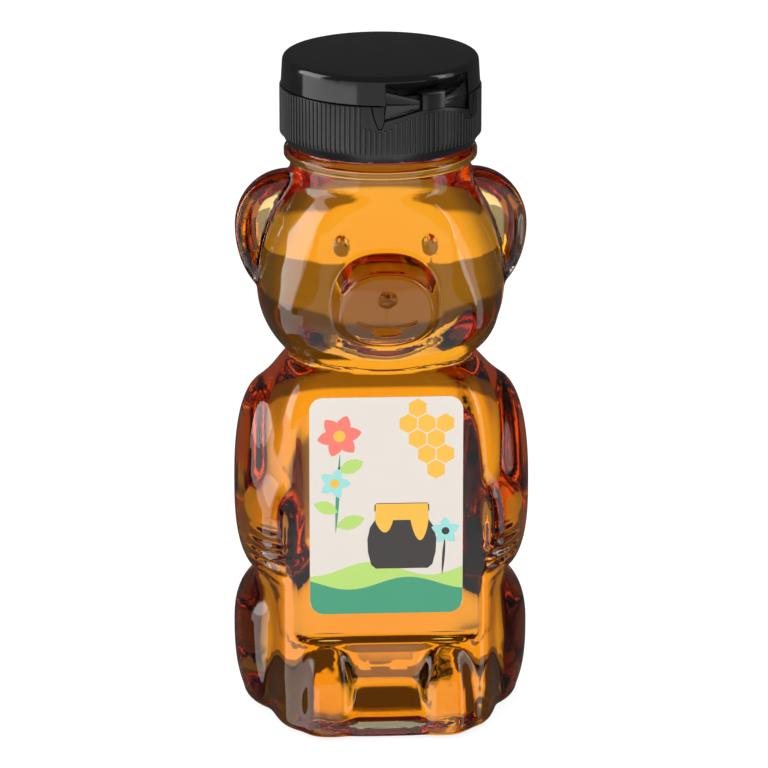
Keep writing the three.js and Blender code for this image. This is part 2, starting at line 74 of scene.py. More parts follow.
def place_camera():
    """A long lens that looks at the bottle's middle."""
    back = direction(view_from["azimuth"], view_from["elevation"])
    turn = (-back).to_track_quat("-Z", "Y")
    half = picture["width"] / 2
    right, up = turn @ Vector((1, 0, 0)), turn @ Vector((0, 1, 0))
    target = aim + right * ((half - picture["axis_at"]) / picture["pixels_per_mm"])
    target += up * ((picture["aim_at"] - half) / picture["pixels_per_mm"])
    data = bpy.data.cameras.new("camera")
    camera = bpy.data.objects.new("camera", data)
    bpy.context.scene.collection.objects.link(camera)
    focal = picture["pixels_per_mm"] * view_from["distance"]
    data.sensor_width = picture["sensor"]
    data.lens = focal / picture["width"] * picture["sensor"]
    data.clip_start, data.clip_end = sight["near"], sight["far"]
    camera.rotation_mode = "QUATERNION"
    camera.rotation_quaternion = turn
    camera.location = (target + back * view_from["distance"]) * MM
    bpy.context.scene.camera = camera
    return data.lens


print("lens in mm:", round(place_camera(), 1))

# %% [markdown]
# Honey shows what stands behind and beside it, bent by its shape, so its surroundings matter as much as its
# colour. They could be real walls and cards, but a world that knows which kind of ray looks at it is simpler
# and adds no light of its own. The camera sees white. Honey sees a bright table and a window behind it.
# Gloss sees the table in front, a dim room and white cards beside the bottle.

# %% Helpers for node trees
def give(tree, socket, value):
    """Gives an input a plain value or another node's output."""
    if isinstance(value, bpy.types.NodeSocket):
        tree.links.new(value, socket)
    else:
        socket.default_value = value


def new_node(tree, kind, **values):
    """A node whose inputs are given by name."""
    made = tree.nodes.new(kind)
    for name, value in values.items():
        give(tree, made.inputs[name.replace("_", " ")], value)
    return made


def wired_node(tree, kind, *values):
    """A node whose inputs are given in their order."""
    made = tree.nodes.new(kind)
    for socket, value in zip(made.inputs, values):
        give(tree, socket, value)
    return made


def math_node(tree, operation, *values):
    """The result of a Math node."""
    made = wired_node(tree, "ShaderNodeMath", *values)
    made.operation = operation
    return made.outputs[0]


def ramp_node(tree, value, low, high, start, end):
    """A value that goes from start to end while its input goes from low to high."""
    made = wired_node(tree, "ShaderNodeMapRange", value, low, high, start, end)
    made.interpolation_type = "SMOOTHSTEP"
    return made.outputs[0]


def pick_node(tree, factor, first, second):
    """The first value where the factor is 0, the second where it is 1."""
    return new_node(tree, "ShaderNodeMix", Factor=factor, A=first, B=second).outputs[0]


def empty_tree(holder):
    """The node tree of a world or a material, with nothing in it."""
    holder.use_nodes = True
    holder.node_tree.nodes.clear()
    return holder.node_tree


print("a direction in front:", [round(v, 2) for v in direction(0, 0)])

# %% The world
even_light = 1.04
# What honey sees: the light by a direction's height z, brighter ahead and behind than at the sides.
window = {"bright": 1.12, "side": 0.48, "side_from": 0.35, "open_from": 0.78}
heights = [(-0.63, 0.3), (-0.58, 1.0), (-0.338, 1.0), (-0.322, 0.3), (0.0, 0.3), (0.06, 0.1)]
back_windows = [
    {"azimuth": 180, "half": 21, "low": 0.38, "high": 0.5, "light": 1.2},
    {"azimuth": 191, "half": 16, "low": 0.2, "high": 0.42, "light": 1.2},
]
# What gloss sees: the table in front, the dim room, and white cards beside the bottle.
table = {"azimuth": 0, "half": 50, "low": -1.1, "high": 0.03}
table_light = {"near": 1.12, "far": 0.64, "near_from": -0.34, "far_from": -0.29}
wall_light = 0.056
cards = [
    {"azimuth": -67, "half": 36, "low": -0.6, "high": -0.08, "light": 2.0},
    {"azimuth": -92, "half": 18, "low": -0.1, "high": 0.5, "light": 2.0},
    {"azimuth": 80, "half": 6, "low": -0.5, "high": 0.5, "light": 1.6},
]
patch_edge = 0.02
# The least squared width of a direction seen from above, so that nothing is divided by zero.
least_plan = 0.0001


def in_patch(tree, compass, patch):
    """1 for directions inside an upright patch of the surroundings, with a soft edge."""
    x, y, z, length = compass
    toward, reach = direction(patch["azimuth"], 0), math.cos(math.radians(patch["half"]))
    across = math_node(tree, "ADD", math_node(tree, "MULTIPLY", x, toward.x),
                       math_node(tree, "MULTIPLY", y, toward.y))
    near = ramp_node(tree, math_node(tree, "DIVIDE", across, length), reach - patch_edge, reach, 0.0, 1.0)
    over = ramp_node(tree, z, patch["low"] - patch_edge, patch["low"], 0.0, 1.0)
    under = ramp_node(tree, z, patch["high"], patch["high"] + patch_edge, 1.0, 0.0)
    return math_node(tree, "MULTIPLY", near, math_node(tree, "MULTIPLY", over, under))


def honey_sees(tree, compass, facing):
    """Bands of light by height, and the window behind."""
    z = compass[2]
    light = ramp_node(tree, facing, window["side_from"], window["open_from"], window["side"], window["bright"])
    for (low, start), (high, end) in zip(heights, heights[1:]):
        if start != end:
            most = max(start, end)
            step = ramp_node(tree, z, low, high, start / most, end / most)
            light = math_node(tree, "MULTIPLY", light, step)
    for patch in back_windows:
        light = pick_node(tree, in_patch(tree, compass, patch), light, patch["light"])
    return light


def gloss_sees(tree, compass):
    """The table, the room and the cards."""
    ahead = ramp_node(tree, compass[2], table_light["near_from"], table_light["far_from"], table_light["near"],
                      table_light["far"])
    light = pick_node(tree, in_patch(tree, compass, table), wall_light, ahead)
    for card in cards:
        light = pick_node(tree, in_patch(tree, compass, card), light, card["light"])
    return light


def make_world():
    """White for the camera, and each other kind of ray sees its own surroundings."""
    world = bpy.data.worlds.new("studio")
    bpy.context.scene.world = world
    tree = empty_tree(world)
    rays = tree.nodes.new("ShaderNodeLightPath").outputs
    place = tree.nodes.new("ShaderNodeTexCoord").outputs["Generated"]
    x, y, z = new_node(tree, "ShaderNodeSeparateXYZ", Vector=place).outputs
    along = math_node(tree, "MULTIPLY", y, y)
    plan = math_node(tree, "ADD", along, math_node(tree, "MULTIPLY", x, x))
    plan = math_node(tree, "MAXIMUM", plan, least_plan)
    compass = (x, y, z, math_node(tree, "SQRT", plan))
    through = honey_sees(tree, compass, math_node(tree, "DIVIDE", along, plan))
    seen = pick_node(tree, rays["Is Transmission Ray"], gloss_sees(tree, compass), through)
    seen = pick_node(tree, rays["Is Diffuse Ray"], seen, even_light)
    strength = pick_node(tree, rays["Is Camera Ray"], seen, 1.0)
    background = new_node(tree, "ShaderNodeBackground", Color=(1, 1, 1, 1), Strength=strength)
    new_node(tree, "ShaderNodeOutputWorld", Surface=background.outputs[0])
    return len(tree.nodes)


print("nodes in the world:", make_world())

# %% The floor and the lamps
floor_look = {"half_side": 3.0, "glow": 0.86, "bounce": 0.8, "shade": 0.22}
lamps = {
    "lamp_left": {"azimuth": -92, "elevation": 22, "away": 0.75, "wide": 0.46, "tall": 0.6, "power": 2.2},
    "lamp_right": {"azimuth": 72, "elevation": 24, "away": 0.8, "wide": 0.16, "tall": 0.6, "power": 0.76},
}
bounces = {"most": 32, "see_through": 16}


def floor_material():
    """White paint that glows for the eye and for reflections only, so it adds no light."""
    look = bpy.data.materials.new("white table")
    tree = empty_tree(look)
    rays = tree.nodes.new("ShaderNodeLightPath").outputs
    seen = math_node(tree, "MAXIMUM", rays["Is Camera Ray"], rays["Is Glossy Ray"])
    seen = math_node(tree, "MAXIMUM", seen, rays["Is Transmission Ray"])
    glow = new_node(tree, "ShaderNodeEmission", Strength=math_node(tree, "MULTIPLY", seen, floor_look["glow"]))
    paints = [new_node(tree, "ShaderNodeBsdfDiffuse", Color=(*[floor_look[name]] * 3, 1)).outputs[0]
              for name in ("bounce", "shade")]
    paint = wired_node(tree, "ShaderNodeMixShader", seen, *paints)
    both = wired_node(tree, "ShaderNodeAddShader", glow.outputs[0], paint.outputs[0])
    new_node(tree, "ShaderNodeOutputMaterial", Surface=both.outputs[0])
    return look


def make_floor():
    """A white table that clear plastic and gloss don't see, because the world shows it to them."""
    side = floor_look["half_side"]
    mesh = bpy.data.meshes.new("floor")
    corners = [(-side, -side, 0), (side, -side, 0), (side, side, 0), (-side, side, 0)]
    mesh.from_pydata(corners, [], [(0, 1, 2, 3)])
    mesh.materials.append(floor_material())
    floor = bpy.data.objects.new("floor", mesh)
    bpy.context.scene.collection.objects.link(floor)
    floor.visible_transmission = False
    floor.visible_glossy = False


def make_lamp(name, azimuth, elevation, away, wide, tall, power):
    """A soft rectangle of light that faces the bottle's middle."""
    data = bpy.data.lights.new(name, "AREA")
    data.shape, data.size, data.size_y, data.energy = "RECTANGLE", wide, tall, power
    lamp = bpy.data.objects.new(name, data)
    back = direction(azimuth, elevation)
    lamp.location = aim * MM + back * away
    lamp.rotation_mode = "QUATERNION"
    lamp.rotation_quaternion = (-back).to_track_quat("-Z", "Y")
    bpy.context.scene.collection.objects.link(lamp)


make_floor()
for lamp_name, lamp_sizes in lamps.items():
    make_lamp(lamp_name, **lamp_sizes)
bpy.context.scene.view_settings.view_transform = "Standard"
light_paths = bpy.context.scene.cycles
light_paths.max_bounces = light_paths.transmission_bounces = bounces["most"]
light_paths.transparent_max_bounces = bounces["see_through"]
print("lamps:", ", ".join(lamps))

# %% [markdown]
# ## The bear's skin
# The bottle is blown into a mould, so its skin is one smooth surface without seams between its limbs. It
# could be sculpted, but then no size could be set again. Here it is a field instead: each limb is a lobe
# whose value is negative inside and positive outside, and smooth unions let the lobes flow together. The
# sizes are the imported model's own, in millimetres.

# %% Sizes of the bear
skin = {"wall": 0.7, "blend": 3.2, "crease": 1.6, "edge": 0.7}
torso = {"y": 0.9, "z": 36.8, "wide": 22.7, "deep": 24.7, "up": 41.2, "plan": 7, "rise": 6, "back": 2.6}
panel = {"half_width": 20.7, "front": 22.6, "bottom": 20.6, "top": 84, "corner": 4.5}
arm = {"x": 22.0, "y": -2.5, "z": 47.5, "wide": 8.7, "deep": 15.5, "up": 24.2, "down": 18.6, "plan": 2.2,
       "rise": 2.6}
hand = {"x": 20.9, "y": -15.2, "z": 43.5, "wide": 5.6, "deep": 7.2, "up": 10, "down": 9}
thigh = {"x": 14.5, "y": 2.5, "z": 15.5, "wide": 16.3, "deep": 19.5, "up": 14.6, "down": 22, "plan": 2.2,
         "rise": 2.6}
shin = {"x": 14.4, "y": -12.5, "z": 7, "wide": 7.6, "deep": 11, "up": 13, "down": 14, "plan": 2.3, "rise": 2.4}
foot = {"x": 12.1, "y": -18.6, "z": 4, "wide": 6.0, "deep": 10.0, "up": 17.4, "down": 16, "plan": 2.6,
        "rise": 2.6}
rump = {"y": 11.2, "z": 16, "wide": 21, "deep": 17.4, "up": 17, "down": 60, "plan": 2.6, "rise": 2.6}
plinth = {"y": -6, "z": 0, "wide": 22.6, "deep": 22.0, "up": 15, "plan": 3.2}
head = {"y": 0.5, "z": 90.5, "wide": 25.6, "deep": 24.7, "up": 33, "down": 20.6, "plan": 2.15}
cheek = {"x": 12.5, "y": -12, "z": 87.5, "wide": 10.4, "deep": 9.6, "up": 11, "down": 9}
brow = {"y": -11.5, "z": 106.5, "wide": 15.5, "deep": 11, "up": 9.5, "down": 12}
face = {"front": 21.2, "z": 89, "lean": 0.11}
snout = {"z": 91.8, "wide": 11.2, "up": 10.6, "down": 8.6, "front": 28.3, "root": 21.0, "power": 2.3}
snout_front = {"taper": 0.2, "least": -0.5, "most": 1.2, "bulge": 0.012, "lean": 0.25, "from": 5, "round": 1.2}
ear = {"x": 18.7, "y": -1.5, "z": 103.7, "wide": 11.4, "deep": 14, "up": 11.6, "down": 16, "plan": 2.2}
ear_front = 3.4
print("bear sizes are in, head", head["wide"] * 2, "mm wide")

# %% The field of the bear
def smooth_min(a, b, k):
    return np.minimum(a, b) - np.maximum(k - np.abs(a - b), 0) ** 2 / (4 * k)


def smooth_max(a, b, k):
    return -smooth_min(-a, -b, k)


def lobe(x, y, z, size):
    """A round or boxy lobe. Its powers make its plan and its rise squarer than an ellipse."""
    plan_power, rise_power = size.get("plan", 2.0), size.get("rise", 2.0)
    if "back" in size:
        plan_power = np.where(y > size["y"], size["back"], plan_power)
    across = np.abs((x - size.get("x", 0)) / size["wide"]) ** plan_power
    along = np.abs((y - size["y"]) / size["deep"]) ** plan_power
    plan = (across + along) ** (1 / plan_power)
    reach = np.where(z > size["z"], size["up"], size.get("down", size["up"]))
    rise = np.abs(z - size["z"]) / reach
    return ((plan**rise_power + rise**rise_power) ** (1 / rise_power) - 1) * min(size["wide"], size["deep"])


def panel_cut(x, y, z):
    """The flat label panel, sunk between raised edges and rounded at its corners."""
    middle, half = (panel["top"] + panel["bottom"]) / 2, (panel["top"] - panel["bottom"]) / 2
    dx = np.maximum(np.abs(x) - panel["half_width"] + panel["corner"], 0)
    dz = np.maximum(np.abs(z - middle) - half + panel["corner"], 0)
    return np.maximum(np.hypot(dx, dz) - panel["corner"], y + panel["front"])


def muzzle(x, y, z):
    """The snout: an arch that narrows towards a nearly flat front."""
    forward = (-y - snout["root"]) / (snout["front"] - snout["root"])
    share = 1 - snout_front["taper"] * np.clip(forward, snout_front["least"], snout_front["most"])
    reach = np.where(z > snout["z"], snout["up"], snout["down"])
    arch = np.abs(x / snout["wide"]) ** snout["power"] + np.abs((z - snout["z"]) / reach) ** snout["power"]
    arch = arch ** (1 / snout["power"])
    below = np.maximum(snout["z"] + snout_front["from"] - z, 0)
    front = -(y + snout["front"]) + snout_front["bulge"] * x**2 + snout_front["lean"] * below
    return np.maximum(smooth_max((arch / share - 1) * snout["up"], front, snout_front["round"]), y)


def bear(px, y, z):
    """Negative inside the bear. Its left side mirrors its right side."""
    x = np.abs(px)
    body = lobe(x, y, z, torso)
    for limb in (arm, hand, thigh, shin, rump, plinth):
        body = smooth_min(body, lobe(x, y, z, limb), skin["blend"])
    body = smooth_min(body, lobe(x, y, z, foot), skin["crease"])
    body = smooth_max(body, -panel_cut(x, y, z), skin["edge"])
    top = lobe(x, y, z, head)
    for swelling in (cheek, brow):
        top = smooth_min(top, lobe(x, y, z, swelling), skin["blend"])
    front = face["front"] - face["lean"] * np.maximum(z - face["z"], 0)
    top = smooth_max(top, -(y + front), 2 * skin["edge"])
    top = smooth_min(top, muzzle(x, y, z), skin["edge"])
    ear_lobe = smooth_max(lobe(x, y, z, ear), -(y + ear_front), 2 * skin["edge"])
    top = smooth_min(top, ear_lobe, skin["edge"])
    collar = np.hypot(x, y) - neck["radius"]
    top = np.where(z > head["z"], smooth_min(top, collar, skin["edge"]), top)
    return smooth_min(body, top, skin["edge"])


neck = {"radius": 18.6, "bore": 15.9, "finish": 17.6, "land": 131.0, "land_edge": 0.5}
print("field at the belly's middle:", round(float(bear(0.0, 0.0, torso["z"])), 2))

# %% [markdown]
# The small marks of the face could be pieces of their own, but they are moulded into the same wall, so they
# are added to the field like the limbs: eyes that stand out as small ovals, a nose, the line below it and
# the mouth. The hands get their finger ridges and the ears their hollow fronts. The bottom of a blown bottle
# is pushed up in the middle, so that it stands on a ring, and its edge is rounded.

# %% Marks and the standing ring
eye = {"x": 9.0, "z": 104.2, "wide": 1.55, "tall": 2.1, "proud": 1.25, "tilt": 0.56}
nose = {"z": 94.9, "wide": 1.9, "tall": 1.9, "proud": 1.05, "tilt": 0.52}
mouth = {"z": 87.4, "wide": 3.1, "tall": 0.8, "proud": 0.52, "tilt": -0.6}
smile = {"z": 88.5, "lift": 0.035, "half": 6.2, "width": 0.3, "depth": 0.3}
philtrum = {"top": 92.6, "width": 0.22, "depth": 0.25}
fingers = {"x": 23.8, "z": 37.6, "wide": 2.6, "tall": 4.6, "step": 2.7, "depth": 0.42}
ear_cup = {"x": 24.4, "z": 103.4, "wide": 4.6, "tall": 8.4, "depth": 1.2, "from": 17.7}
mark_edge = 0.16
marks_before = -10
footing = {"radius": 2.4, "push_up": 1.6, "push_slope": 3.2, "ring_width": 4.6, "corner_share": 1.5}


def ease(share):
    """Goes from 0 to 1 with a soft start and a soft end."""
    return share**2 * (3 - 2 * share)


def oval(x, z, mark):
    """1 inside an oval mark and 0 outside it, with a short slope between."""
    out = np.hypot((x - mark.get("x", 0)) / mark["wide"], (z - mark["z"]) / mark["tall"])
    return ease(np.clip((1 - out) * mark["wide"] / mark_edge + 0.5, 0, 1))


def marked(px, y, z):
    """The bear with the marks of its face, its finger ridges and its cupped ears."""
    x = np.abs(px)
    off_cup = ((x - ear_cup["x"]) / ear_cup["wide"]) ** 2 + ((z - ear_cup["z"]) / ear_cup["tall"]) ** 2
    step = ear_cup["depth"] * np.maximum(1 - off_cup, 0)
    cupped = np.where((y < 0) & (x > ear_cup["from"]), y - step, y)
    raised = sum(oval(x, z, mark) * (mark["proud"] + mark["tilt"] * (z - mark["z"]))
                 for mark in (eye, nose, mouth))
    bow = smile["z"] + smile["lift"] * x**2
    raised = raised - smile["depth"] * np.exp(-(((z - bow) / smile["width"]) ** 2)) * (x < smile["half"])
    line = np.exp(-((x / philtrum["width"]) ** 2)) * ((z > smile["z"]) & (z < philtrum["top"]))
    raised = raised - philtrum["depth"] * line
    grip = np.exp(-(((x - fingers["x"]) / fingers["wide"]) ** 2) - ((z - fingers["z"]) / fingers["tall"]) ** 2)
    raised = raised + fingers["depth"] * grip * np.cos((z - fingers["z"]) * 2 * math.pi / fingers["step"])
    return bear(px, cupped, z) - np.where(y < marks_before, raised, 0)


def standing(x, y, z):
    """The marked bear, cut by the table with a rounded edge and a pushed-up middle."""
    radius = footing["radius"]
    side = marked(x, y, np.maximum(z, radius))
    inward = np.clip((-side - footing["ring_width"]) / footing["push_slope"], 0, 1)
    below = footing["push_up"] * ease(inward) - z
    a, b = side + radius, below + radius
    corner = np.hypot(np.maximum(a, 0), np.maximum(b, 0)) + np.minimum(np.maximum(a, b), 0) - radius
    return np.where(z < radius * footing["corner_share"], corner, side)


print("marks of the face stand out by up to", max(mark["proud"] for mark in (eye, nose, mouth)), "mm")

# %% [markdown]
# A field becomes a mesh in two steps. First a net: space is cut into small cubes, each cube that the skin
# crosses gets one point, and neighbours are joined into four-sided faces. Then every point slides along the
# field's slope onto the skin itself, so the faces are even and the surface is as smooth as the formula. A
# remeshed sculpture would do too, but its points would lie beside the true surface.

# %% The net
def cells_round(at, axis, cells):
    """The four cells that share each crossed edge, in turn, and which of them lie in the grid."""
    for back_one, back_two in ((0, 0), (1, 0), (1, 1), (0, 1)):
        cell = at.copy()
        cell[(axis + 1) % 3] -= back_one
        cell[(axis + 2) % 3] -= back_two
        yield cell, np.all((cell >= 0) & (cell < cells[:, None]), axis=0)


def surface_net(field, low, high, pitch):
    """Points, the height layer of each, and four-sided faces that face outward."""
    axes = [np.arange(a, b + pitch, pitch) for a, b in zip(low, high)]
    value = field(*np.meshgrid(*axes, indexing="ij", sparse=True))
    cells = np.array(value.shape) - 1
    many = cells.prod()
    total, crossings = np.zeros((4, many)), []
    for axis in range(3):
        first = np.take(value, np.arange(value.shape[axis] - 1), axis)
        second = np.take(value, np.arange(1, value.shape[axis]), axis)
        at = np.array(np.nonzero((first < 0) != (second < 0)))
        a, b = first[tuple(at)], second[tuple(at)]
        spot = np.array([axes[i][at[i]] for i in range(3)])
        spot[axis] += pitch * a / (a - b)
        crossings.append((axis, at, a < 0))
        for cell, inside in cells_round(at, axis, cells):
            flat = np.ravel_multi_index(cell[:, inside], cells)
            for row, weight in enumerate((*spot[:, inside], np.ones(inside.sum()))):
                total[row] += np.bincount(flat, weight, minlength=many)
    used = np.nonzero(total[3])[0]
    index = np.full(many, -1)
    index[used] = np.arange(len(used))
    points = (total[:3, used] / total[3, used]).T
    layers = np.unravel_index(used, cells)[2]
    quads = []
    for axis, at, starts_inside in crossings:
        ring = []
        for cell, inside in cells_round(at, axis, cells):
            flat = np.ravel_multi_index(np.where(inside, cell, 0), cells)
            ring.append(np.where(inside, index[flat], -1))
        ring = np.array(ring).T
        ring[~starts_inside] = ring[~starts_inside][:, ::-1]
        quads.append(ring[(ring >= 0).all(1)])
    return points, layers, np.concatenate(quads)


# %% Settling the net on the skin
least_slope = 0.2
relax_share = 0.6


def slope(field, points, step=0.03):
    """The field's gradient at each point, and its steepness."""
    sides = []
    for axis in range(3):
        shift = np.zeros(3)
        shift[axis] = step
        sides.append((field(*(points + shift).T) - field(*(points - shift).T)) / (2 * step))
    lean = np.array(sides).T
    return lean, np.maximum(np.linalg.norm(lean, axis=1), least_slope)


def settle(field, points, inset, limit, rounds=4):
    """Slides points along the slope until they lie the given distance inside the skin."""
    for _ in range(rounds):
        lean, steep = slope(field, points)
        away = field(*points.T) / steep + inset
        points = points - lean / steep[:, None] * np.clip(away, -limit, limit)[:, None]
    return points


def even_out(field, points, quads, inset, pitch, rounds=3):
    """Relaxes the net along the skin, so that its faces become even."""
    pairs = np.concatenate([quads[:, [i, (i + 1) % 4]] for i in range(4)])
    for _ in range(rounds):
        total = np.zeros_like(points)
        for axis in range(3):
            total[:, axis] = np.bincount(pairs[:, 0], points[pairs[:, 1], axis], len(points))
            total[:, axis] += np.bincount(pairs[:, 1], points[pairs[:, 0], axis], len(points))
        many = np.bincount(pairs[:, 0], minlength=len(points)) + np.bincount(pairs[:, 1], minlength=len(points))
        move = total / np.maximum(many, 1)[:, None] - points
        lean, steep = slope(field, points)
        lean = lean / steep[:, None]
        move -= lean * (move * lean).sum(1)[:, None]
        points = settle(field, points + move * relax_share, inset, pitch / 2, 1)
    return settle(field, points, inset, pitch / 2, 2)


nearest = settle(bear, np.array([[0.0, -30.0, 50.0]]), 0, 5.0)[0]
print("a point before the panel settles at y =", round(float(nearest[1]), 2), "mm")

# %% [markdown]
# The marks of the face are finer than the net. A finer net all over would cost far too many faces, so only
# the faces near the marks are split into four, some of those into four again, and the new points settle on
# the skin too.

# %% Finer faces at the marks
# Each zone is its least and greatest x and z, on both sides of the bear, and each list is one level.
fine_zones = [
    [(0, 13.5, 83, 111), (19.5, 28.5, 30, 45)],
    [(6.4, 11.6, 101, 108), (0, 3, 92, 97.6), (0, 1, 88, 93), (0, 7, 85.5, 90.6)],
    [(6.9, 11.1, 101.6, 107.4), (0, 2.4, 92.5, 97.2), (0, 3.8, 86.4, 88.8)],
]
fine_before = -12
fine_reach = 0.4


def in_zones(place, zones):
    """Whether a place on the bear's front lies in one of the zones."""
    x, z = abs(place.x), place.z
    return place.y < fine_before and any(a <= x <= b and c <= z <= d for a, b, c, d in zones)


def refine(points, faces):
    """Splits the faces in the fine zones, one level after the other."""
    for zones in fine_zones:
        shape = bmesh.new()
        corners = [shape.verts.new(point) for point in points]
        near = set()
        for numbers in faces:
            face = shape.faces.new([corners[i] for i in numbers])
            if in_zones(face.calc_center_median(), zones):
                near.update(face.edges)
        bmesh.ops.subdivide_edges(shape, edges=list(near), cuts=1, use_grid_fill=True)
        shape.verts.index_update()
        old_count = len(points)
        points = np.array([vertex.co[:] for vertex in shape.verts])
        faces = [[vertex.index for vertex in face.verts] for face in shape.faces]
        shape.free()
        points[old_count:] = settle(standing, points[old_count:], 0, fine_reach)
    return points, faces


print("levels of finer faces:", len(fine_zones))

# %% [markdown]
# The skin ends open under the neck, and the neck is turned like a pot. The two have different counts of
# points on their rims, so a strip of triangles zips them together, walking round both rims at once.

# %% Shells that end open at the neck
skin_top = 117.4
net_box = {"x": 34, "y": 33, "below_share": 1.4}


def open_shell(inset, pitch):
    """The bear's skin, or a shell inside it, open at the neck."""
    low = (-net_box["x"], -net_box["y"], -pitch * net_box["below_share"])
    high = (net_box["x"], net_box["y"], skin_top + 2 * pitch)

    def field(x, y, z):
        return standing(x, y, z) + inset

    points, layers, quads = surface_net(field, low, high, pitch)
    top_layer = int((skin_top - low[2]) / pitch)
    quads = quads[(layers[quads] <= top_layer).all(1)]
    used = np.unique(quads)
    renumber = np.full(len(points), -1)
    renumber[used] = np.arange(len(used))
    points, quads = points[used], renumber[quads]
    points = settle(standing, points, inset, pitch)
    return even_out(standing, points, quads, inset, pitch), quads


def open_rim(quads):
    """The points on the open edge."""
    edges = np.concatenate([quads[:, [i, (i + 1) % 4]] for i in range(4)])
    keys = set(map(tuple, edges.tolist()))
    return sorted({p for a, b in keys if (b, a) not in keys for p in (a, b)})


def by_azimuth(points, numbers):
    """Point numbers in their order round the axis, and their angles."""
    angle = np.arctan2(points[numbers, 1], points[numbers, 0])
    order = np.argsort(angle)
    return [numbers[i] for i in order], angle[order]


def zip_rims(points, low_rim, high_rim):
    """Triangles between two rims of different counts, facing away from the axis."""
    low_rim, low_angle = by_azimuth(points, low_rim)
    high_rim, high_angle = by_azimuth(points, high_rim)
    faces, i, j = [], 0, 0
    n, m = len(low_rim), len(high_rim)

    def turned_to(angles, k):
        return angles[k % len(angles)] + 2 * math.pi * (k // len(angles))

    while i < n or j < m:
        go_low = j >= m or (i < n and turned_to(low_angle, i + 1) <= turned_to(high_angle, j + 1))
        if go_low:
            faces.append((low_rim[i % n], low_rim[(i + 1) % n], high_rim[j % m]))
            i += 1
        else:
            faces.append((low_rim[i % n], high_rim[(j + 1) % m], high_rim[j % m]))
            j += 1
    return faces


def circle(radius, height, count):
    """The points of a level circle round the axis."""
    turn = np.arange(count) * 2 * math.pi / count
    return np.stack([radius * np.cos(turn), radius * np.sin(turn), np.full(count, height)], axis=1)


def ring_faces(start, rows, count):
    """Four-sided faces between rows of rings that are numbered from start."""
    faces = []
    for low in range(start, start + (rows - 1) * count, count):
        for i in range(count):
            j = (i + 1) % count
            faces.append((low + i, low + j, low + count + j, low + count + i))
    return faces


print("skin ends at", skin_top, "mm")

# %% Meshes from points
def piece_from(name, points, faces):
    """A smooth-shaded object from points in millimetres."""
    mesh = bpy.data.meshes.new(name)
    mesh.from_pydata((np.asarray(points) * MM).tolist(), [], [tuple(int(i) for i in f) for f in faces])
    mesh.validate()
    mesh.shade_smooth()
    piece = bpy.data.objects.new(name, mesh)
    bpy.context.scene.collection.objects.link(piece)
    return piece


def sharpen(piece, degrees):
    """Marks edges that turn by more than an angle as sharp."""
    shape = bmesh.new()
    shape.from_mesh(piece.data)
    limit = math.radians(degrees)
    for edge in shape.edges:
        edge.smooth = len(edge.link_faces) == 2 and edge.calc_face_angle(0) < limit
    shape.to_mesh(piece.data)
    shape.free()
    return piece


def triangles(piece):
    return sum(len(p.vertices) - 2 for p in piece.data.polygons)


print("one millimetre is", MM, "of Blender's units")

# %% [markdown]
# The neck is turned from an outline of radius and height: the bead on which the bottle hangs while it is
# filled, the finish with its thread, the flat land that the foil is welded to, and the bore. The thread is
# one ridge that climbs a pitch a turn and fades at both ends. A swept ridge would have to be joined to the
# neck, so the rings of the neck swell where the ridge passes instead.

# %% The neck
bead = {"radius": 19.9, "height": 1.9, "top": 120.1}
thread = {"start": 122.7, "pitch": 4.23, "turns": 1.2, "height": 1.0, "foot": 0.95, "crest": 0.4,
          "run_out": 0.07}
thread_rings = {"over_bead": 0.6, "under_land": 0.3, "step": 0.4}
collar = {"outer_drop": 0.25, "flare": 0.12, "inner_drop": 0.3}
# Small rounds, as steps away from a corner: first sideways, then along the axis.
bead_round = [(0.3, 0.1), (0.08, 0.2), (0.0, 0.4)]
foot_round = [(0.3, 0.0), (0.08, 0.1), (0.0, 0.35)]
throat_round = [(0.0, 1.2), (0.25, 0.5), (0.9, 0.1)]
bevel_share = 0.3
neck_count = 240


def neck_outline():
    """The neck from under the bead up over the land and down the bore, as radius and height."""
    top, base, out = bead["top"], bead["top"] - bead["height"], bead["radius"]
    land, finish, bore, edge = neck["land"], neck["finish"], neck["bore"], neck["land_edge"]
    outline = [(neck["radius"], base - collar["outer_drop"]), (neck["radius"] + collar["flare"], base)]
    outline += [(out - r, base + z) for r, z in bead_round]
    outline += [(out - r, top - z) for r, z in bead_round[::-1]]
    outline += [(finish + r, top + z) for r, z in foot_round]
    outline += [(finish - edge * share, land - edge * (1 - share)) for share in (0, 1)]
    outline.insert(-1, (finish - edge * bevel_share, land - edge * bevel_share))
    outline += [(bore + r, land - z) for r, z in foot_round]
    outline += [(bore + r, base + z) for r, z in throat_round]
    return outline + [(neck["radius"] - skin["wall"], base - collar["inner_drop"])]


def threaded_ring(height):
    """A ring of the neck's outside, with the right-hand thread that climbs one pitch a turn."""
    ring = circle(1.0, height, neck_count)
    ridge = np.zeros(neck_count)
    for winding in (0, 1):
        gone = np.arange(neck_count) / neck_count + winding
        off = np.abs(height - thread["start"] - thread["pitch"] * gone)
        flank = np.clip((thread["foot"] - off) / (thread["foot"] - thread["crest"]), 0, 1)
        fade = np.clip(np.minimum(gone, thread["turns"] - gone) / thread["run_out"], 0, 1)
        ridge = np.maximum(ridge, thread["height"] * flank * fade)
    ring[:, :2] *= (neck["finish"] + ridge)[:, None]
    return ring


def neck_rings():
    """The neck's rings in order, with the thread's between the bead and the land."""
    rings, land_foot = [], neck["land"] - neck["land_edge"]
    for radius, height in neck_outline():
        if height == land_foot:
            first, last = bead["top"] + thread_rings["over_bead"], height - thread_rings["under_land"]
            rings += [threaded_ring(z) for z in np.arange(first, last, thread_rings["step"])]
        rings.append(circle(radius, height, neck_count))
    return rings


print("rings of the neck:", len(neck_rings()))

# %% The bottle
pitches = {"outer": 0.86, "inner": 1.35, "honey": 0.95}


def ring_numbers(first):
    return list(range(first, first + neck_count))


